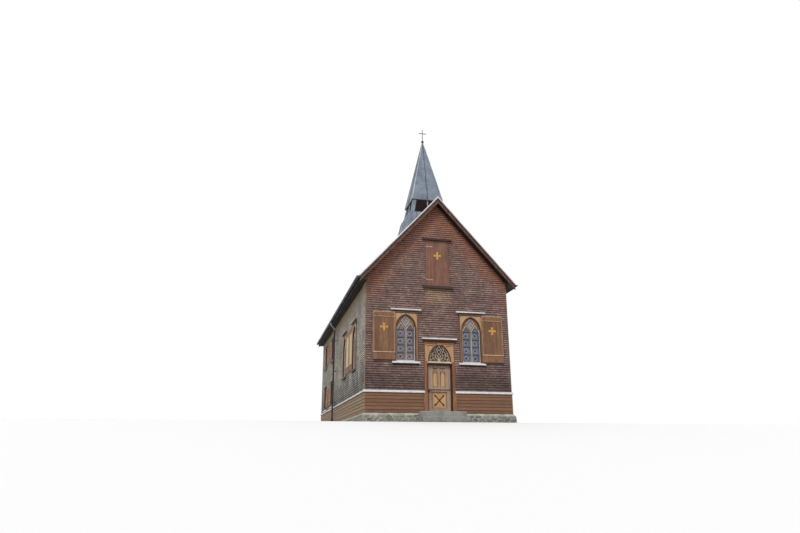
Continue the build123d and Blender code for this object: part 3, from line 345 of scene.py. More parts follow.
# Timber walls, boarded and hung with split shingles. Each shingle is a thin wedge nailed at its
# top, so that the thick butts make a shadow line at every course. The weather has left the front
# a dark purple brown and bleached the long sides to a warm grey.
wall_half, wall_length = 3.2, 16.5
front_face = ((0, 0, 0), (1, 0, 0), (0, -1, 0))
right_face = ((wall_half, 0, 0), (0, 1, 0), (1, 0, 0))
rear_face = ((0, wall_length, 0), (-1, 0, 0), (0, 1, 0))
left_face = ((-wall_half, 0, 0), (0, -1, 0), (-1, 0, 0))
ridge_height, roof_slope, roof_thickness = 10.02, 1.10511, 0.17
roof_angle = math.atan(roof_slope)


def on_wall(face, u, v, w):
    """Puts u metres along a wall's face, v up from the ground and w out from the wall in place."""
    start, along, out = (np.array(part, float) for part in face)
    u, v, w = np.broadcast_arrays(u, v, w)
    return start + u[..., None] * along + v[..., None] * np.array([0, 0, 1.0]) + w[..., None] * out


def under_roof(x):
    """Height of the roof boards' underside at a distance from the middle of the building."""
    return ridge_height - roof_thickness / math.cos(roof_angle) - np.abs(x) * roof_slope


def below_roof(finish):
    """How far straight down each point is from the roof's upper face."""
    return ridge_height - abs(finish.x) * roof_slope - finish.z


def shingle(face, left, right, low, high, roof_line, openings, seed, course=0.097, cover=0.03):
    """Courses of wedges from 55 to 120 mm wide, each about 17 mm thick at its butt and 1 mm at its
    head, cut back at openings and along the roof. Returns the shell, a tone for each shingle, and
    a mark that goes from 0 at the butt to 1 at the head."""
    rng = np.random.default_rng(seed)
    rows = np.arange(low, high, course)
    widths = rng.uniform(0.055, 0.12, (len(rows), int((right - left) / 0.08) + 8))
    ends = left - 0.1 * rng.random((len(rows), 1)) + np.cumsum(widths, axis=1)
    u0, u1 = (ends - widths).ravel(), ends.ravel()
    v0 = np.repeat(rows, widths.shape[1])
    v0 = v0 + 0.009 * drift(u0 / 0.8, v0 / 0.35, seed) + rng.uniform(-0.005, 0.005, len(u0))
    v1 = v0 + course + cover
    v0[v0 < low + course / 2] = low
    u0, u1 = np.maximum(u0, left), np.minimum(u1, right)
    for near, far, foot, head in openings:
        hit = (u1 > near) & (u0 < far) & (v1 > foot) & (v0 < head)
        below, above = hit & (v0 < foot), hit & (v1 > head)
        v1[below] = foot
        v0[above] = head
        beside = hit & ~below & ~above
        to_left = beside & (u0 + u1 < near + far)
        u1[to_left] = np.minimum(u1[to_left], near)
        to_right = beside & ~to_left
        u0[to_right] = np.maximum(u0[to_right], far)
    head_left, head_right = np.minimum(v1, roof_line(u0)), np.minimum(v1, roof_line(u1))
    keep = (u1 - u0 > 0.008) & (np.minimum(head_left, head_right) > v0 + 0.004)
    u0, u1, v0, head_left, head_right = (part[keep] for part in (u0, u1, v0, head_left, head_right))
    u0, u1 = u0 + 0.0008, u1 - 0.0008
    butt = rng.uniform(0.013, 0.021, len(u0))
    flat, head = np.full(len(u0), -0.004), np.full(len(u0), 0.001)
    u = np.stack([u0, u1, u1, u0, u1, u0], 1)
    v = np.stack([v0, v0, v0, v0, head_right, head_left], 1)
    points = on_wall(face, u, v, np.stack([flat, flat, butt, butt, head, head], 1))
    first = 6 * np.arange(len(u0))[:, None]
    quads = np.concatenate([first + quad for quad in ((0, 1, 2, 3), (3, 2, 4, 5), (1, 0, 5, 4))])
    sides = np.concatenate([first + side for side in ((0, 3, 5), (1, 4, 2))])
    return (points, quads, sides), np.repeat(rng.random(len(u0)), 6), np.tile([0, 0, 0, 0, 1, 1], len(u0))


wall_boards = Finish("rough_wall_boards", Roughness=0.9)
fibre = wall_boards.noise((3.0, 3.0, 60.0))
wall_boards.surface(wall_boards.blend((70, 52, 42), (105, 84, 68), fibre), None, fibre, 0.001)
wall_boards.dress("front_wall_left", "front_wall_right", "front_wall_over_door", "front_gable")
wall_boards.dress("left_wall", "right_wall", "rear_wall")

window_middle, side_windows, rear_bay = 1.465, (2.85, 5.95), (11.0, 14.3)
window_foot, casing_half, casing_head = 2.54, 0.53, 4.64
bay_rows = ((1.52, 1.23), (4.15, 1.13))


def mirrored(spans):
    """The same spans on the other side of the middle."""
    return [(-far, -near, *rest) for near, far, *rest in spans]


def openings_at(places, half, *rows):
    """Where casings of this half width interrupt the shingles: each row gives a foot and a head."""
    return [(place - half, place + half, *row) for place in places for row in rows]


def shingle_finish(name, dark, middle, light, fresh, damp, course_highlight_and_shade, front=False):
    """Split shingles: a tone for each, fibres along it, fresher wood where the roof shelters it,
    darker wood low down where rain splashes, by the share damp, and pale butts under darker heads,
    partly weathering and partly a painted highlight on each butt and painted shade under the next
    course, by the share course_highlight_and_shade. The front is browner near the verge, with a
    paler patch under its hatch."""
    finish = Finish(name)
    fibre, cloud = finish.noise((130.0, 130.0, 9.0)), finish.noise(0.9, 4.0)
    patches = finish.noise((1.6, 1.6, 5.0))
    tone, lift = finish.mark("tone"), finish.mark("lift")
    stops = [(0.0, dark), (0.5, middle), (1.0, light)]
    colour = finish.add("ValToRGB", {"stops": stops}, {0: tone * 0.42 + patches * 0.33 + cloud * 0.25})
    if front:
        lot = finish.dice(tone * 97.0, 4.0)
        colour = finish.blend(colour, (132, 88, 70), finish.rise(lot, 0.65, 1.0) * 0.45)
        colour = finish.blend(colour, (108, 100, 100), finish.fall(lot, 0.0, 0.35) * 0.45)
        shelter = finish.fall(below_roof(finish) - 0.23 + cloud, 0.4, 2.3)
        shelter = shelter.most(finish.rise(finish.z + cloud * 0.5, 7.9, 9.1) * 0.9)
        patch = finish.fall(abs(finish.x) + cloud * 0.1, 0.55, 0.7)
        patch = patch * finish.rise(finish.z, 5.02, 5.12) * finish.fall(finish.z, 5.85, 5.9)
        colour = finish.blend(colour, (158, 129, 101), patch * (0.38 + tone * 0.3))
    else:
        shelter = finish.rise(finish.z + cloud * 0.3, 5.2, 6.0)
    colour = finish.blend(colour, fresh, shelter * (0.45 + tone * 0.5))
    splash = finish.rise(finish.z + cloud * 0.6, 1.6, 3.1)
    weather = (0.74 + fibre * 0.32 + cloud * 0.14) * (1.0 - damp + splash * damp)
    # Painted light: a highlight on each butt and shade on the head under the next course, with some
    # weathering.
    butt = 0.60 - finish.rise(lift, 0.05, 0.2) * 0.30 - finish.rise(lift, 0.28, 0.58) * 0.98
    colour = finish.shade(colour, weather * (1.0 + course_highlight_and_shade * butt))
    return finish.surface(colour, 0.75 + fibre * 0.2, fibre, 0.0015)


front_shingles = shingle_finish(
    "purple_brown_shingles", (88, 68, 64), (118, 93, 86), (152, 130, 118), (160, 104, 78), 0.46, 1.0, True
)
side_shingles = shingle_finish(
    "bleached_shingles", (106, 108, 110), (148, 144, 134), (198, 186, 162), (174, 146, 108), 0.56, 1.25
)
shingle_foot, shingle_peak, eaves_line = 1.325, 9.8, 6.0
front_windows = (-window_middle, window_middle)
arched = (casing_half, (window_foot, casing_head))
small = (0.47, *((foot - 0.07, foot + tall + 0.07) for foot, tall in bay_rows))
door_casing, hatch_casing = (-0.67, 0.67, 1.0, 3.47), (-0.535, 0.535, 5.85, 7.98)
front_openings = openings_at(front_windows, *arched) + [door_casing, hatch_casing]
side_openings = openings_at(side_windows, *arched) + openings_at(rear_bay, *small)
rear_openings = openings_at(front_windows, *small)
gable_ends = (-wall_half, wall_half, shingle_foot, shingle_peak, under_roof)
under_eaves = (shingle_foot, eaves_line, lambda u: 0 * u + eaves_line)
right_side, left_side = (0.0, wall_length, *under_eaves), (-wall_length, 0.0, *under_eaves)
for name, span, finish, slot in (
    ("front_shingles", (front_face, *gable_ends, front_openings), front_shingles, "shingles_front"),
    ("rear_shingles", (rear_face, *gable_ends, rear_openings), side_shingles, "shingles_side"),
    ("right_shingles", (right_face, *right_side, side_openings), side_shingles, "shingles_side"),
    ("left_shingles", (left_face, *left_side, mirrored(side_openings)), side_shingles, "shingles_side"),
):
    shell, tone, lift = shingle(*span, seed=len(name))
    piece(name, [shell], finish, slot, tone=tone, lift=lift)

# Corner strips. A narrow fillet of pale sawn wood, nailed upright at each outside corner, closes
# the ends of the shingles' courses.


def boxes(face, spans, middle=0.0):
    """Square timbers or plates on a wall: each span gives its ends along it from a middle, up it
    and out of it."""
    spans = np.array(spans, float)
    spans[:, :2] += middle
    pick = np.array([(i, j, k) for i in (0, 1) for j in (2, 3) for k in (4, 5)])
    points = on_wall(face, spans[:, pick[:, 0]], spans[:, pick[:, 1]], spans[:, pick[:, 2]])
    quads = np.array([(0, 1, 3, 2), (4, 6, 7, 5), (0, 4, 5, 1), (2, 3, 7, 6), (0, 2, 6, 4), (1, 5, 7, 3)])
    return points, (8 * np.arange(len(spans))[:, None, None] + quads).reshape(-1, 4)


def pair(*spans):
    """Each span on the left, and its like on the right."""
    return [*spans, *mirrored(spans)]


def timber(name, pale, dark, fibre=(60.0, 60.0, 3.5), wear=0.8, board=None, reveal_shade=None, reach=0.069):
    """Sawn or planed timber: fibres drawn out along its length, slower bands of dark growth, a
    tone for each board, and dirt where the weather has reached it. A darker reveal_shade colour,
    painted shade in the recess, takes over from 4 mm behind the face of a casing as far as its
    reach, on whichever wall it is."""
    finish = Finish(name)
    fine = finish.noise(fibre, 4.0, 0.65)
    bands = finish.noise(tuple(0.22 * part for part in fibre), 2.0)
    cloud = finish.noise(1.7)
    colour = finish.blend(pale, dark, fine * 0.45 + bands * 0.45)
    # Painted shade inside the casing's recess.
    if reveal_shade:
        behind = finish.y + 0.04
        for wall in (wall_half + 0.04 - abs(finish.x), wall_length + 0.04 - finish.y):
            behind = behind.least(wall)
        colour = finish.blend(colour, reveal_shade, (behind > 0.004) * (1.0 - (behind > reach)))
    strength = 1.12 - cloud * 0.24 * wear
    if board:
        axis, pitch = board
        strength = strength * (0.84 + finish.dice(getattr(finish, axis) / pitch) * 0.3)
    return finish.surface(finish.shade(colour, strength), 0.6 + fine * 0.25, fine + bands * 0.6, 0.0012)


corner_wood = timber("corner_fillet", (150, 130, 112), (104, 88, 76), (90.0, 90.0, 3.0), 0.5)
fillets = pair((-3.220, -3.192, 1.33, under_roof(wall_half) - 0.02, -0.012, 0.02))
corners = [boxes(front_face, fillets), boxes(rear_face, fillets)]
piece("corner_fillets", corners, corner_wood, "shingles_side", bevel=0.002)

# Skirting. Six stained boards lapped one over the next, nailed to the studs under the shingles,
# and butted every few metres.
skirting = Finish("stained_lapped_boards")
grain, wear = skirting.noise((2.2, 2.2, 75.0), 4.0), skirting.noise(1.3, 4.0)
skirting_foot, board_high = 0.4, 0.1392
board_row = (skirting.z - skirting_foot) / board_high
stain_and_lap_shade = skirting.blend((138, 98, 70), (158, 132, 98), abs(skirting.x) > 3.19)
stain_and_lap_shade = skirting.blend(stain_and_lap_shade, (92, 66, 52), grain * 0.45 + wear * 0.2)
in_board = skirting.add("Math", {"operation": "FRACT"}, {0: board_row})
# Painted shade: a thin dark line along each board's foot and a painted shadow near its top, under the board
# lapped over it.
lit = skirting.rise(in_board, 0.0, 0.06) * (1.0 - skirting.rise(in_board, 0.80, 1.0) * 0.9)
stain_and_lap_shade = skirting.shade(stain_and_lap_shade, (0.80 + skirting.dice(board_row, 3.0) * 0.40) * (0.36 + lit * 0.64))
skirting.surface(stain_and_lap_shade, 0.6 + grain * 0.25, grain * 0.6 + lit, 0.003).dress("skirting_boards")

# Zinc flashing over the skirting, hoods over the windows and door, and sills. Folded from pale
# sheet, with a hem along each front edge, lapped at the joints and streaked by the rain. On the
# long sides the hoods and sills have gone dark.


def sheet_metal(name, bright, dull, tarnish, streak=0.5, metallic=0.15, on_sides=None):
    """Weathered sheet metal: cloudy tarnish, streaks that run down it, and faint dents."""
    finish = Finish(name, Metallic=metallic)
    cloud, speck = finish.noise(2.6, 5.0, 0.65), finish.noise(85.0, 2.0)
    runs, dents = finish.noise((16.0, 16.0, 1.1), 4.0), finish.noise(7.0, 2.0)
    colour = finish.blend(bright, dull, cloud)
    colour = finish.blend(colour, tarnish, finish.rise(runs * streak + speck * 0.2, 0.35, 0.75))
    if on_sides:
        high_up = (abs(finish.x) > wall_half + 0.0005) * (finish.z > 2.0)
        colour = finish.blend(colour, on_sides, high_up * (0.75 + cloud * 0.25))
    return finish.surface(colour, 0.42 + cloud * 0.25, dents + speck * 0.06, 0.004, 0.35)


zinc = sheet_metal(
    "pale_folded_zinc", (234, 234, 236), (206, 207, 212), (160, 160, 164), 0.4, on_sides=(98, 84, 74)
)
zinc.dress("water_table", "zinc_hoods", "window_sills")
window_walls = [(front_face, -window_middle), (front_face, window_middle)]
window_walls += [(right_face, place) for place in side_windows]
window_walls += [(left_face, -place) for place in side_windows]
hood_hem = (-0.673, 0.673, 4.700, 4.716, 0.108, 0.1235)
sill_hem = (-0.608, 0.608, 2.430, 2.444, 0.098, 0.1135)
door_hem = (-0.768, 0.768, 3.470, 3.486, 0.153, 0.1685)
hems = [boxes(face, [hood_hem, sill_hem], place) for face, place in window_walls]
piece("zinc_hems", [*hems, boxes(front_face, [door_hem])], zinc, "zinc", bevel=0.003)

# Arched windows. A plank casing with sunk spandrels round a pointed arch, a lining through the
# wall, and a pale painted tracery: two lancets with a moulded bead, under a leaded light.


def arch(half, upright, rise, foot=0.0, steps=12):
    """The outline of a pointed arch from its left foot over the point to its right foot: two arcs
    whose radius is (half squared plus rise squared) over twice the half width."""
    radius = (half**2 + rise**2) / (2 * half)
    turn = np.linspace(0, math.acos((radius - half) / radius), steps)
    side, lift = radius * np.cos(turn) - (radius - half), upright + radius * np.sin(turn)
    u = np.concatenate([[-half], -side, side[::-1][1:], [half]])
    v = np.concatenate([[foot], lift, lift[::-1][1:], [foot]])
    return np.stack([u, v], -1)


def gabled(half, upright, rise, foot=0.0):
    """The outline of a light with straight sides and a straight-sided point."""
    return np.array([(-half, foot), (-half, upright), (0, upright + rise), (half, upright), (half, foot)])


def ring(radius, count=16):
    """Points round a circle."""
    turn = np.arange(count) * 2 * math.pi / count
    return radius * np.stack([np.cos(turn), np.sin(turn)], -1)


def roll(half, low, high):
    """The profile of a bead: a crown of five points round half an oval, and a flat foot."""
    turn = np.linspace(0, math.pi, 5)
    crown = np.stack([half * np.cos(turn), low + (high - low) * np.sin(turn)], -1)
    return np.concatenate([crown, [(-half, low - 0.004), (half, low - 0.004)]])


def moulding(face, path, profile, at=(0, 0), closed=False):
    """A profile carried along a path on a wall: at each point it stands in the plane that halves
    the corner, and its reach across is made longer there by one over the halved angle's cosine."""
    path, profile = np.array(path, float) + at, np.array(profile, float)
    ahead = np.roll(path, -1, 0) - path
    ahead /= np.maximum(np.linalg.norm(ahead, axis=1, keepdims=True), 1e-9)
    behind = np.roll(ahead, 1, 0)
    if not closed:
        ahead[-1], behind[0] = ahead[-2], ahead[0]
    left = np.stack([-(ahead + behind)[:, 1], (ahead + behind)[:, 0]], -1)
    left *= 2 / np.maximum((left**2).sum(1, keepdims=True), 1e-9)
    across = path[:, None] + profile[None, :, :1] * left[:, None]
    return tube(on_wall(face, across[..., 0], across[..., 1], profile[:, 1]), closed)


def plate(face, inner, outer, low, high, at=(0, 0)):
    """A plate between two lines on a wall, point joined to point, with a low and a high face."""
    inner, outer = np.array(inner, float) + at, np.array(outer, float) + at
    edge = np.stack([inner, outer, outer, inner], 1)
    return tube(on_wall(face, edge[..., 0], edge[..., 1], np.array([low, low, high, high])))


def spandrels(face, at, half, upright, rise, reach, top, high):
    """The two panels between a pointed arch and the square corner of its casing."""
    gap, line = 0.004, arch(half, upright, rise, steps=10)[1:11]
    line[-1, 0] = -gap
    along = np.linspace(0, 1, 10)[:, None]
    corner = (-reach, upright) + np.minimum(along * 2, 1) * (0, top - upright)
    corner = corner + np.maximum(along * 2 - 1, 0) * (reach - gap, 0)
    return [plate(face, line * (hand, 1), corner * (hand, 1), casing_back, high, at) for hand in (1, -1)]


oak = timber("stained_oak_frames", (158, 114, 78), (98, 66, 46), reveal_shade=(62, 42, 34))
oak.dress("front_window_frames")
timber("shaded_oak_frames", (134, 94, 70), (78, 52, 42), reveal_shade=(50, 34, 30)).dress(
    "side_window_frames", "rear_bay_window_frames"
)
spandrel_wood = timber("pale_spandrel_panels", (198, 160, 120), (156, 118, 84), (30.0, 30.0, 4.0), 0.6)
tracery_paint = timber("pale_painted_tracery", (218, 206, 194), (172, 160, 148), (50.0, 50.0, 4.0), 0.7)
# Near-black boards that only carry painted shade: strips that stand for shadows in recesses and under parts.
shadow_wood = timber("painted_shadow_boards", (66, 46, 38), (38, 28, 24), (50.0, 50.0, 4.0))


def cast_metal(name, first, second, grain, metallic, rough, depth=None):
    """Metal worked by hand: two colours in a cloud of this grain, rougher where it is the second."""
    finish = Finish(name, Metallic=metallic)
    cloud = finish.noise(*grain)
    low, more = rough
    colour = finish.blend(first, second, cloud)
    return finish.surface(colour, low + cloud * more, cloud if depth else None, depth)


lead = cast_metal("leaded_came", (44, 42, 48), (70, 68, 76), (30.0,), 0.4, (0.5, 0.2))
pale_lead = cast_metal("pale_came_rings", (176, 170, 180), (140, 136, 148), (30.0,), 0.2, (0.45, 0.2))
window_upright, window_rise, window_half = 1.43, 0.54, 0.42
lancet_half, lancet_middle, lancet_foot = 0.18, 0.205, 0.035
shoulder, lancet_peak = 1.34, window_upright + 0.19
pane_foot, pane_tall, hub_shift = window_foot + 0.02, 0.327, -0.022
casing_back, bead_back, glass_face = 0.036, -0.030, -0.063
spring = window_foot + window_upright
bars = (window_foot + lancet_foot, spring + 0.02)
beads, window_shade_bands, cames, rings, mouldings, panels = [], [], [], [], [], []
for face, place in window_walls:
    at, at_spring = (place, window_foot), (place, spring)
    lip = 0.0425 if face is front_face else 0.050
    head = arch(window_half, window_upright, window_rise)
    # Painted shade: dark bands round the arch, under the head moulding, under the hood and the sill, in the
    # gaps beside the casing and on the mullion's shaded side.
    window_shade_bands.append(moulding(face, head, [(0.0, -0.028), (-0.020, -0.028), (-0.020, -0.008), (0.0, 0.008)], at))
    outer_head = arch(window_half + 0.016, window_upright, window_rise + 0.019)
    window_shade_bands.append(moulding(face, outer_head, roll(0.013, casing_back, 0.0425), at))
    window_shade_bands.append(boxes(face, [
        (-0.49, 0.49, 4.566, 4.596, casing_back, 0.0425),
        (-casing_half, casing_half, casing_head, 4.700, 0.000, 0.030),
        (-casing_half, casing_half, 2.375, 2.430, 0.000, 0.026),
        *pair((-0.539, -0.528, window_foot, casing_head, 0.000, 0.033)),
        (-0.026, -0.001, *bars, -0.032, -0.012),
    ], place))
    reach, top = 0.486, 4.568 - window_foot
    panels += spandrels(face, at, window_half + 0.034, window_upright, window_rise + 0.04, reach, top, 0.0425)
    beads.append(boxes(face, [
        *pair((-0.418, -0.382, window_foot, bars[1], -0.034, -0.018)),
        (-0.385, 0.385, window_foot, window_foot + 0.036, -0.034, -0.020),
        (0.001, 0.024, *bars, -0.032, -0.014),
    ], place))
    for side in (-1, 1):
        middle = place + side * lancet_middle
        light = gabled(lancet_half + 0.002, shoulder, lancet_peak - shoulder, lancet_foot)
        beads.append(moulding(face, light, roll(0.012, bead_back, -0.016), (middle, window_foot)))
        for hand in (-1, 1):
            under = [(hand * lancet_half, shoulder), (0, lancet_peak - 0.004)]
            over = [(hand * (lancet_half + 0.004), window_upright + 0.004), (0, lancet_peak + 0.008)]
            mouldings.append(plate(face, under, over, -0.058, -0.031, (middle, window_foot)))
        for k in range(4):
            low, high = pane_foot + k * pane_tall, pane_foot + (k + 1) * pane_tall
            hub = (middle + hub_shift, (low + high) / 2)
            cross_bar = (-lancet_half, lancet_half, high - 0.012, high + 0.012, glass_face, -0.046)
            cames.append(boxes(face, [cross_bar], middle))
            cames.append(moulding(face, ring(0.020, 8), roll(0.013, glass_face, -0.050), hub, True))
            for hand in (-1, 1):
                spoke = [(hand * 0.108, 0.0), (hand * 0.165, 0.0)]
                cames.append(moulding(face, spoke, roll(0.004, glass_face, -0.056), hub))
            rings.append(moulding(face, ring(0.088), roll(0.013, glass_face, -0.052), hub, True))
            edge_line = (-0.004, 0.004, low + 0.014, high - 0.014, glass_face, -0.055)
            rings.append(boxes(face, [edge_line], middle - side * 0.128))
    eye = [(0, 0.034), (0.172, 0.285), (0, 0.503), (-0.172, 0.285)]
    beads.append(moulding(face, eye, roll(0.012, bead_back, -0.014), at_spring, True))
    rings.append(moulding(face, ring(0.062), roll(0.010, glass_face, -0.05), (place, spring + 0.33), True))
    for slant in (-1, 1):
        line = [(-0.075 * slant, 0.16), (0.075 * slant, 0.40)]
        rings.append(moulding(face, line, roll(0.006, glass_face, -0.054), at_spring))
    mouldings.append(boxes(face, [
        (-casing_half, casing_half, 4.606, casing_head, casing_back, 0.052),
        *pair((-casing_half, -0.494, window_foot, 4.600, casing_back, lip)),
    ], place))
piece("window_painted_shadows", window_shade_bands, shadow_wood, "oak_frame")
piece("window_spandrels", panels, spandrel_wood, "oak_frame", bevel=0.003)
piece("window_beads", beads, tracery_paint, "tracery_wood")
piece("window_cames", cames, lead, "iron")
piece("window_rings", rings, pale_lead, "iron")
piece("window_casing_mouldings", mouldings, oak, "oak_frame", bevel=0.002)

# Leaded glass. Small panes of hand-made glass, each with its own tint and tilt, so that the sky
# shows broken up in them; and the plain panes of the small windows.
glass = Finish("hand_made_glass")
pane_column = glass.dice((glass.x + glass.y) / lancet_middle, 5.0)
pane_row = glass.dice((glass.z - pane_foot) / (pane_tall / 2), 9.0)
pane_tone = glass.dice((pane_column + pane_row * 3.0) * 37.0)
waves = glass.noise(14.0, 2.0)
tint = pane_tone * 0.7 + waves * 0.3
grey_panes = glass.blend((88, 80, 86), (126, 118, 126), tint)
blue_panes = glass.blend((64, 74, 92), (112, 122, 136), tint)
pane_colour = glass.blend(grey_panes, blue_panes, glass.x > 0.0)
in_heads = glass.rise(glass.z, 4.04, 4.10) * (1.0 - (glass.y > 0.5))
pane_colour = glass.blend(pane_colour, (138, 136, 152), in_heads)
over_door = (1.0 - (abs(glass.x) > 0.6)) * (1.0 - (glass.z > 3.4))
pane_colour = glass.blend(pane_colour, (46, 38, 36), over_door)
glass.surface(pane_colour, 0.10 + waves * 0.12, waves + pane_tone * 3.0, 0.003, 0.3).dress("window_glass")

# Door frame, cornice and the fan over the door. A stained casing with a pointed head, blocks at
# its foot, a moulded cornice under a zinc hood, and a fretted fan of pointed lights.
door_oak = timber("orange_door_casing", (168, 116, 74), (104, 68, 46), reveal_shade=(66, 32, 28), reach=0.3)
door_oak.dress("door_frame")
timber("shaded_fan_plate", (80, 60, 48), (48, 35, 30), (60.0, 60.0, 20.0)).dress("door_tympanum")
fan_paint = timber("weathered_fan_beads", (220, 202, 176), (172, 150, 124), (60.0, 60.0, 20.0), 0.6)
cornice_wood = timber("dark_red_cornice", (104, 62, 46), (62, 38, 30), (3.0, 60.0, 60.0), 0.5)
cornice_wood.dress("door_cornice")
iron = cast_metal("wrought_iron", (40, 38, 38), (78, 66, 58), (55.0, 4.0), 0.5, (0.5, 0.25), 0.0006)
iron.dress("hinge_pins", "door_handle")
transom, fan_hub = 2.54, (0, 0.06)
fan_at = (0, transom)
fan_beads = [moulding(front_face, arch(0.462, 0.01, 0.72), roll(0.010, bead_back, -0.012), fan_at)]
hub_bead = roll(0.02, bead_back, -0.01)
fan_beads.append(moulding(front_face, ring(0.036, 14), hub_bead, (0, transom + 0.062), True))
petal = np.array([(-0.022, -0.005), (0.022, -0.005), (0.053, 0.118), (0, 0.170), (-0.053, 0.118)])
side_roundels = ((0.400, 0.060, 0.040), (0.330, 0.300, 0.044), (0.160, 0.505, 0.050))
roundels = [(side * u, v, radius) for side in (-1, 1) for u, v, radius in side_roundels]
roundels += [(0.0, 0.560, 0.058), (0.0, 0.665, 0.034)]
for turn in np.radians(18 + 36 * np.arange(5)):
    outward = np.array([math.cos(turn), math.sin(turn)])
    spin = np.array([(outward[1], -outward[0]), outward])
    light = petal @ spin + outward * 0.090 + fan_hub
    fan_beads.append(moulding(front_face, light, roll(0.009, bead_back, -0.014), fan_at, True))
    roundels.append((*(0.350 * outward + fan_hub), 0.066))
for u, v, radius in roundels:
    bead = roll(0.010, bead_back, -0.013)
    fan_beads.append(moulding(front_face, ring(radius + 0.006), bead, (u, transom + v), True))
piece("fan_beads", fan_beads, fan_paint, "tracery_wood")
door_trim = [boxes(front_face, [
    (-0.67, 0.67, 3.30, 3.34, casing_back, 0.054),
    *pair(
        (-0.708, -0.540, 1.205, 1.240, 0.058, 0.074),
        (-0.706, -0.540, 0.400, 0.500, 0.058, 0.070),
        (-0.668, -0.636, 1.240, 3.300, casing_back, 0.050),
    ),
])]
piece("door_casing_mouldings", door_trim, door_oak, "oak_frame", bevel=0.002)
inner_edge = [(0.0, -0.03), (-0.022, -0.03), (-0.022, -0.014), (0.0, -0.014)]
groove = roll(0.008, 0.037, 0.044)
# Painted shade: dark bands round the fan's arch and inside it, and down both jambs; the grooves and the ring
# on the casing are dark lines of the casing.
door_shadows_and_grooves = [
    moulding(front_face, arch(0.502, 0.0, 0.772, -0.04), roll(0.016, casing_back, 0.045), fan_at),
    moulding(front_face, arch(0.485, 0.0, 0.755), inner_edge, fan_at),
    moulding(front_face, [(-0.604, 1.32), (-0.604, 2.42)], groove),
    moulding(front_face, [(0.604, 1.75), (0.604, 2.20)], groove),
    moulding(front_face, ring(0.014, 8), roll(0.010, 0.037, 0.045), (0.604, 1.66), True),
    boxes(front_face, pair((-0.560, -0.546, 1.24, 2.50, casing_back, 0.046))),
]
piece("door_shadow_and_groove_strips", door_shadows_and_grooves, cornice_wood, "dark_moulding")
door_panels = spandrels(front_face, fan_at, 0.524, 0.0, 0.80, 0.626, 3.258 - transom, 0.046)
piece("door_spandrels", door_panels, spandrel_wood, "oak_frame", bevel=0.003)
transom_rail = boxes(front_face, [
    (-0.545, 0.545, 2.476, 2.524, 0.020, 0.050),
    (-0.520, 0.520, 2.520, 2.545, -0.020, 0.036),
])
piece("door_transom_face", [transom_rail], fan_paint, "tracery_wood", bevel=0.004)
# Painted shadow under the transom, and dark plates that stand for the shade in the spandrels' slots.
door_painted_shadows = boxes(front_face, [
    (-0.545, 0.545, 2.395, 2.452, -0.105, 0.010),
    (-0.545, 0.545, 2.436, 2.478, 0.010, 0.044),
    *pair((-0.54, -0.27, 3.196, 3.224, casing_back, 0.050)),
])
piece("door_painted_shadows", [door_painted_shadows], shadow_wood, "dark_moulding")

# Door leaf. Framed and panelled in lighter wood, with two pointed panels above under carved
# heads, a moulded lock rail, and a square lower panel that carries a dark saltire with lobed ends.
door_wood = timber("worn_tan_door", (182, 155, 133), (130, 105, 89), (55.0, 55.0, 3.5), 0.7)
door_wood.dress("door_leaf")


def moved_out(face, depth):
    """A wall's face moved out from the wall by a depth, or into it by one below nothing."""
    start, along, out = (np.array(part, float) for part in face)
    return start + out * depth, along, out


panel_wood = timber("orange_door_panels", (206, 162, 112), (162, 120, 80), (55.0, 55.0, 3.5), 0.5)
carving_wood = timber("dark_carving", (98, 58, 34), (56, 34, 20), (55.0, 55.0, 8.0), 0.5)
leaf_face = moved_out(front_face, -0.115)
panel_low, panel_spring, panel_offset = 1.5, 2.12, 0.17
leaf_trim, leaf_panels, carving = [], [], []
for middle in (-panel_offset, panel_offset):
    at, above = (middle, 0), (middle, panel_low)
    outline = roll(0.009, -0.002, 0.006)
    carving.append(moulding(leaf_face, gabled(0.094, 0.63, 0.112), outline, above, True))
    leaf_panels.append(boxes(leaf_face, [(-0.082, 0.082, 1.510, 2.125, -0.014, -0.007)], middle))
    for hand in (-1, 1):
        tip = [(hand * 0.080, 2.13), (0, 2.23)]
        leaf_panels.append(plate(leaf_face, tip, [(0, panel_spring)] * 2, -0.014, -0.008, at))
        head_foot, head_top = [(hand * 0.090, 2.035), (0, 2.145)], [(hand * 0.090, 2.128), (0, 2.234)]
        leaf_trim.append(plate(leaf_face, head_foot, head_top, -0.0135, -0.003, at))
    chevron = [(-0.094, 2.030), (0, 2.142), (0.094, 2.030)]
    carving.append(moulding(leaf_face, chevron, roll(0.013, -0.006, 0.005), at))
    carving.append(boxes(leaf_face, [(-0.105, 0.105, 2.254, 2.282, -0.002, 0.007)], middle))
leaf_trim.append(boxes(leaf_face, [
    (-0.42, 0.42, 1.300, 1.335, -0.002, 0.011),
    (-0.49, 0.49, 1.392, 1.432, -0.002, 0.013),
]))
carving.append(boxes(leaf_face, [
    (-0.490, 0.490, 1.350, 1.390, -0.002, 0.006),
    (-0.345, 0.345, 1.256, 1.284, -0.002, 0.006),
    *pair((-0.332, -0.314, 0.620, 1.256, -0.002, 0.004)),
]))
square = [(-0.3, 0.64), (0.3, 0.64), (0.3, 1.24), (-0.3, 1.24)]
leaf_trim.append(moulding(leaf_face, square, roll(0.013, 0, 0.012), closed=True))
leaf_panels.append(boxes(leaf_face, [(-0.29, 0.29, 0.65, 1.23, -0.014, -0.0085)]))
arm_profile = [(0.028, -0.014), (0.018, 0.003), (-0.018, 0.003), (-0.028, -0.014)]
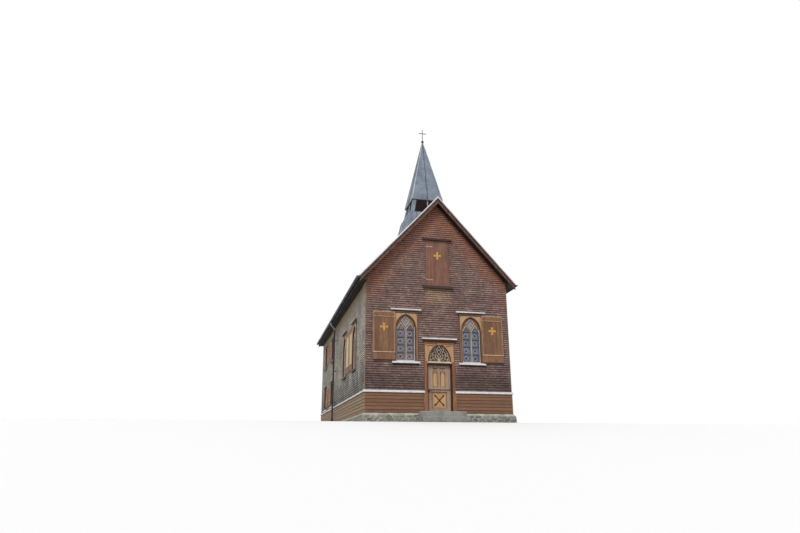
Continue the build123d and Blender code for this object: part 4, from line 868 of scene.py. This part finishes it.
for turn in np.radians((47, 133, 227, 313)):
    outward = np.array([math.cos(turn), math.sin(turn)])
    across = np.array([-outward[1], outward[0]])
    carving.append(moulding(leaf_face, [(0, 0), outward * 0.315], arm_profile, (0, 0.94)))
    for reach, half in ((0.225, 0.054), (0.272, 0.042)):
        lobe = [outward * reach - across * half, outward * reach + across * half]
        carving.append(moulding(leaf_face, lobe, roll(0.018, -0.013, 0.001), (0, 0.94)))
piece("door_leaf_mouldings", leaf_trim, door_wood, "door_wood", "door", bevel=0.0015)
piece("door_orange_panels", leaf_panels, panel_wood, "door_wood", "door")
piece("door_carving", carving, carving_wood, "dark_moulding", "door")

# Shutters. Upright boards in a frame of stiles and rails with a deep foot rail, hung on strap
# hinges, each with a flared cross of gilded wood. Those on the long sides are fixed open.
shutter_wood = timber("shutter_boards", (144, 104, 74), (76, 50, 36), (46.0, 46.0, 2.2), 1.0, ("x", 0.19))
shutter_rails = timber("shutter_frame_wood", (152, 108, 76), (92, 62, 44), (60.0, 60.0, 5.0))
shutter_edge = timber("sunlit_shutter_edges", (222, 192, 154), (176, 144, 108), (60.0, 60.0, 5.0))
side_boards = {"fibre": (60.0, 60.0, 3.0), "board": ("y", 0.19)}
side_board_wood = timber("side_shutter_boards", (216, 196, 154), (164, 140, 104), **side_boards)
bay_board_wood = timber("bay_shutter_boards", (172, 108, 70), (112, 66, 44), **side_boards)
shutter_rails.dress("left_shutter", "right_shutter", "side_shutters")
cast_metal("gilded_cross", (226, 176, 82), (176, 126, 54), (24.0, 4.0), 0.1, (0.4, 0.25), 0.0008).dress(
    "left_shutter_cross", "right_shutter_cross", "gable_hatch_cross"
)
shutter_half, shutter_foot, shutter_tall, stile = 0.474, 2.55, 2.05, 0.09


def shutter_dressing(face, middle, foot, tall, back, proud, boards=4):
    """Boards and mouldings on a shutter's face: boards with open joints in the sunk field, pale
    beads, proud of the frame, along both rails, and dark strips of painted shadow under the foot
    rail's bead, at the field's top and along the shutter's foot."""
    half, top, face = shutter_half, foot + tall, moved_out(face, back + 0.042)
    field_low, field_high = foot + 0.330, top - 0.240
    pitch, gap = 2 * (half - stile) / boards, 0.0025
    lefts = stile - half + pitch * np.arange(boards)
    planks = [(left + gap, left + pitch - gap, field_low, field_high, -0.014, -0.004) for left in lefts]
    trim = [
        (-half, half, field_low - 0.022, field_low + 0.014, -0.002, proud),
        *pair((-half, 0.012 - half, field_low, top, -0.002, 0.0025)),
        (-half, half, field_high + 0.022, field_high + 0.036, -0.002, proud),
        (-half, half, top - 0.022, top, -0.002, proud),
    ]
    # Painted shadows under the foot rail's bead, under the top rail and along the shutter's foot.
    shadow_strips = [
        (0.004 - half, half - 0.004, field_low - 0.044, field_low - 0.020, -0.002, 0.0015),
        (0.084 - half, half - 0.084, field_high - 0.018, field_high + 0.001, -0.012, -0.003),
        (-half, half, foot, foot + 0.014, -0.002, 0.0015),
    ]
    return [boxes(face, spans, middle) for spans in (planks, trim, shadow_strips)]


for side, name in ((-1, "left_shutter"), (1, "right_shutter")):
    boards, trim, shadow_strips = shutter_dressing(front_face, side * 2.426, shutter_foot, shutter_tall, 0.046, 0.003)
    piece(name + "_boards", [boards], shutter_wood, "shutter_wood", name, bevel=0.0025)
    piece(name + "_mouldings", [trim], shutter_edge, "shutter_wood", name, bevel=0.003)
    piece(name + "_shadow_strips", [shadow_strips], shadow_wood, "shutter_wood", name)
by_windows = (side_windows[0] + 1.009, side_windows[1] - 1.009)
by_bay = (rear_bay[0] + 0.949, rear_bay[1] - 0.949)
fixed = [(place, shutter_foot, shutter_tall) for place in by_windows]
fixed += [(place, foot, 1.1) for place in by_bay for foot, _ in bay_rows]
side_dressing = [
    shutter_dressing(face, sign * middle, foot, tall, 0.0, 0.007)
    for face, sign in ((right_face, 1), (left_face, -1)) for middle, foot, tall in fixed
]
boards, trim, shadow_strips = zip(*side_dressing)
arched_boards, bay_boards = boards[0:2] + boards[6:8], boards[2:6] + boards[8:12]
piece("side_shutter_boards", arched_boards, side_board_wood, "shutter_wood", bevel=0.0025)
piece("bay_shutter_boards", bay_boards, bay_board_wood, "shutter_wood", bevel=0.0025)
piece("side_shutter_mouldings", trim, shutter_edge, "shutter_wood", bevel=0.003)
piece("side_shutter_shadow_strips", shadow_strips, shadow_wood, "shutter_wood")

# Gable hatch. A tall door of narrow orange-brown boards to the loft, under a dark timber hood,
# with pale strap hinges on its left edge and a gilded cross.
hatch_board, hatch_half = 0.1338, 0.535
hatch_wood = timber(
    "red_brown_hatch_boards", (144, 100, 80), (84, 56, 46), (50.0, 50.0, 2.0), 1.0, ("x", 0.134)
)
hatch_wood.dress("gable_hatch")
lefts = hatch_board * np.arange(8) - hatch_half
hatch_boards = [(left + 0.002, left + hatch_board - 0.002, 5.852, 7.978, 0.022, 0.036) for left in lefts]
piece("gable_hatch_boards", [boxes(front_face, hatch_boards)], hatch_wood, "hatch_wood", bevel=0.003)
# The hood and sill are darkened as painted shade for their shaded undersides and the shadow under them.
timber("shade_dark_hatch_hood", (74, 50, 42), (40, 28, 26), (3.0, 60.0, 60.0), 0.5).dress("hatch_hood_and_sill")
sheet_metal("pale_strap_iron", (196, 184, 170), (160, 148, 136), (120, 96, 78)).dress("gable_hatch_straps")

# Roof. Boards on rafters under dark sheet metal with standing seams, closed by a ridge cap, boxed
# eaves and bargeboards whose top edge carries a pale metal trim.
# Roof boards and boxed eaves are darkened to near black as painted shade under the eaves.
timber("shade_dark_roof_boards", (38, 30, 24), (20, 17, 14), (40.0, 2.0, 40.0), 0.5, ("x", 0.14)).dress(
    "roof_deck_left", "roof_deck_right", "boxed_eaves"
)
roof_metal = sheet_metal("dark_roof_sheet", (90, 94, 101), (80, 84, 90), (98, 98, 98), 0.35, 0.3)
roof_metal.dress("roof_sheet_left", "roof_sheet_right")
barge_wood = Finish("weathered_bargeboards")
fibre = barge_wood.noise((8.0, 30.0, 8.0), 4.0)
board_depth = below_roof(barge_wood) * math.cos(roof_angle)
upper_board = barge_wood.blend((72, 48, 42), (40, 28, 27), fibre)
board_foot = barge_wood.blend((122, 78, 62), (72, 46, 40), fibre)
colour = barge_wood.blend(upper_board, board_foot, barge_wood.rise(board_depth, 0.150, 0.158))
barge_wood.surface(colour, 0.55 + fibre * 0.25, fibre, 0.001).dress("bargeboards")
trim_metal = Finish("verge_and_ridge_sheet", Metallic=0.15)
cloud = trim_metal.noise(2.6, 5.0, 0.65)
tarnish = cloud * 0.7 + trim_metal.noise(85.0, 2.0) * 0.2
trim_depth = below_roof(trim_metal) * math.cos(roof_angle)
verge_colour = trim_metal.blend((242, 240, 236), (208, 202, 196), tarnish)
verge_colour = trim_metal.blend(verge_colour, (66, 48, 42), trim_metal.rise(trim_depth, 0.044, 0.048))
ridge_colour = trim_metal.blend((104, 108, 114), (76, 79, 84), tarnish)
on_ridge = (trim_metal.y > -0.30) * (1.0 - (trim_metal.y > 16.80))
trim_metal.surface(trim_metal.blend(verge_colour, ridge_colour, on_ridge), 0.42 + cloud * 0.25, cloud, 0.003)
trim_metal.dress("ridge_and_verge_trims")


def fold(start, end, out, across, half, proud, crown=0.6, sink=0.003):
    """A folded seam from one point to another: a thin bar whose section runs from half its width
    to each side, sunk a little in the sheet, to a narrower crown that stands proud of it."""
    section = np.array([(-half, -sink), (half, -sink), (half * crown, proud), (-half * crown, proud)])
    section = section @ np.array([across, out], float)
    return tube(np.array([start, end], float)[:, None] + section)


def on_roof(reach, y):
    """A point on the roof's upper face, at a reach from the ridge and y metres back."""
    return reach, y, ridge_height - abs(reach) * roof_slope


seams, seam_pitch = [], 0.55
for side in (-1, 1):
    up = (side * math.sin(roof_angle), 0, math.cos(roof_angle))
    for y in np.arange(seam_pitch - 0.34, 16.8, seam_pitch):
        ends = (on_roof(side * 0.09, y), on_roof(side * 3.50, y))
        seams.append(fold(*ends, up, (0, 1, 0), 0.009, 0.026, 2 / 3, 0.004))
piece("roof_standing_seams", seams, roof_metal, "roof_sheet")

# Gutters and downpipes. Half-round gutters of grey sheet on the eaves, and a dark downpipe on
# each side with a paler swan neck under the gutter's outlet.
sheet_metal("grey_gutter_sheet", (98, 106, 116), (62, 66, 72), (44, 46, 46)).dress("gutters")
pipe_metal = Finish("dark_downpipe", Metallic=0.2)
cloud = pipe_metal.noise((9.0, 9.0, 1.2))
colour = pipe_metal.blend((44, 42, 44), (150, 156, 166), pipe_metal.rise(pipe_metal.z, 5.52, 5.56))
pipe_metal.surface(pipe_metal.shade(colour, 0.8 + cloud * 0.35), 0.45 + cloud * 0.2).dress("downpipes")

# Turret on the ridge. A battered base clad in blue-grey sheet with standing seams carries an open
# belfry of leaning posts and a slender spire in the same sheet, with an iron cross at its tip.
turret_metal = sheet_metal("blue_grey_turret_sheet", (136, 146, 160), (108, 118, 132), (84, 90, 98), 0.5, 0.2)
spire_metal = sheet_metal("blue_grey_spire_sheet", (132, 142, 156), (104, 114, 128), (84, 92, 104), 0.4, 0.2)
post_metal = sheet_metal("clad_belfry_posts", (150, 160, 172), (112, 122, 134), (70, 74, 80), 0.5, 0.1)
# The middle folds are darkened as painted shadow along each seam.
dark_fold = sheet_metal("shadow_dark_middle_folds", (84, 90, 98), (62, 66, 74), (50, 54, 60), 0.4)
# The hip folds are painted pale as a highlight from the sky.
pale_fold = sheet_metal("sky_lit_hip_folds", (196, 202, 210), (158, 166, 176), (120, 126, 134), 0.3)
soffit_wood = timber("dark_red_spire_soffit", (86, 50, 40), (46, 30, 26), (3.0, 60.0, 60.0), 0.5, ("y", 0.12))
turret_metal.dress("turret_base")
spire_metal.dress("spire")
post_metal.dress("belfry_posts")
soffit_wood.dress("spire_soffit")
iron.dress("spire_finial")
turret_y = 2.11
spire_foot, spire_half, spire_tip, spire_tall = 10.605, 0.766, 0.025, 3.45
base_foot, base_tall, base_foot_half, base_top_half = 8.33, 1.5, 1.28, 0.95


def leaning(level, lean):
    """The way square to a side that leans inwards, from the level way out."""
    return level * math.cos(lean) + np.array([0, 0, math.sin(lean)])


def on_side(level, along, foot, tall, foot_half, top_half, share, lift):
    """A point on a leaning side: a share of its half width along it, and a height up from its foot."""
    half = foot_half - (foot_half - top_half) * lift / tall
    return np.array([0, turret_y, foot + lift]) + level * half + along * half * share


laps, middle_folds, hip_folds, base_seams = [], [], [], []
for c, s in ((1, 0), (0, 1), (-1, 0), (0, -1)):
    level, along = np.array([c, s, 0.0]), np.array([-s, c, 0.0])
    out = leaning(level, math.atan((spire_half - spire_tip) / spire_tall))
    up = np.cross(out, along)
    spire = (level, along, spire_foot, spire_tall, spire_half, spire_tip)
    middle_folds.append(fold(on_side(*spire, 0, 0.02), on_side(*spire, 0, 3.42), out, along, 0.014, 0.022))
    hip, square_to_hip = (level + along) / math.sqrt(2), (along - level) / math.sqrt(2)
    ends = (on_side(*spire, 1, 0.0), on_side(*spire, 1, 3.44))
    hip_folds.append(fold(*ends, hip, square_to_hip, 0.020, 0.014))
    for lift in (0.86, 1.72, 2.58):
        laps.append(fold(on_side(*spire, -0.97, lift), on_side(*spire, 0.97, lift), out, up, 0.008, 0.004))
    out = leaning(level, math.atan((base_foot_half - base_top_half) / base_tall))
    base = (level, along, base_foot, base_tall, base_foot_half, base_top_half)
    for share in (-0.66, -0.22, 0.22, 0.66):
        foot, head = on_side(*base, share, 0.0), on_side(*base, share, base_tall)
        if c == 0:
            roof_here = ridge_height - abs(foot[0]) * roof_slope
            foot = foot + (head - foot) * np.clip((roof_here - base_foot) / base_tall, 0, 0.98)
        base_seams.append(fold(foot, head, out, along, 0.010, 0.022))
piece("spire_seams", laps, spire_metal, "spire_sheet")
piece("spire_middle_folds", middle_folds, dark_fold, "spire_sheet")
piece("spire_hip_folds", hip_folds, pale_fold, "spire_sheet")
piece("turret_base_seams", base_seams, turret_metal, "turret_sheet")

# Studio: a pale floor that is level round the building and falls away before it, a white
# backdrop, one broad soft lamp and an even sky, and the camera of the photograph.
floor_reach, floor_start, floor_drop, floor_counts = 60, 0.9, 3.0, (41, 481)
spread = [np.linspace(-floor_reach, floor_reach, count) for count in floor_counts]
floor_x, floor_y = np.meshgrid(*spread, indexing="ij")
before = np.maximum(-floor_start - floor_y, 0)
floor_z = -floor_drop * (1 - np.exp(-0.0476 * before**2 / (before + 1.5))) - 0.0005
floor_paint = Finish("pale_studio_floor", Roughness=0.95)
floor_seen = floor_paint.add("LightPath", {}, {}, "Is Camera Ray")
floor_paint.surface(floor_paint.blend((150, 150, 150), (238, 238, 238), floor_seen))
floor_shell = (np.stack([floor_x, floor_y, floor_z], -1), grid_quads(*floor_counts))
studio_floor = solid("studio_floor", [floor_shell], floor_paint, True)

scene = bpy.context.scene
scene.view_settings.view_transform = "Standard"
scene.world = bpy.data.worlds.new("studio_sky")
scene.world.use_nodes = True
sky = Nodes(scene.world.node_tree)
white, sky_strength = (255, 255, 255), 0.80
even_sky = sky.add("Background", {}, {0: white, 1: sky_strength})
backdrop = sky.add("Background", {}, {0: white, 1: 1.0})
seen = sky.add("LightPath", {}, {}, ("Is Camera Ray", "Is Glossy Ray", "Is Transmission Ray"))
choice = sky.add("MixShader", {}, {0: seen[0] + (seen[1] + seen[2]), 1: even_sky, 2: backdrop})
sky.tree.links.new(choice.socket, sky.tree.nodes["World Output"].inputs[0])

lamp = bpy.data.lights.new("soft_lamp", "SUN")
lamp.energy, lamp.angle = 1.5, math.radians(16)
lamp_holder = bpy.data.objects.new("soft_lamp", lamp)
lamp_holder.rotation_euler = (math.radians(46), 0, math.radians(-34))
scene.collection.objects.link(lamp_holder)

lens = bpy.data.cameras.new("photographer")
lens.lens, lens.sensor_width, lens.clip_end = 27.08, 36.0, 500
camera = bpy.data.objects.new("photographer", lens)
camera.location = (-7.489, -24.583, -1.166)
pitch, roll_turn, yaw = 17.23, 0.19, -13.18
camera.rotation_euler = (math.radians(90 + pitch), math.radians(roll_turn), math.radians(yaw))
scene.collection.objects.link(camera)
scene.camera = camera

bpy.context.view_layer.update()
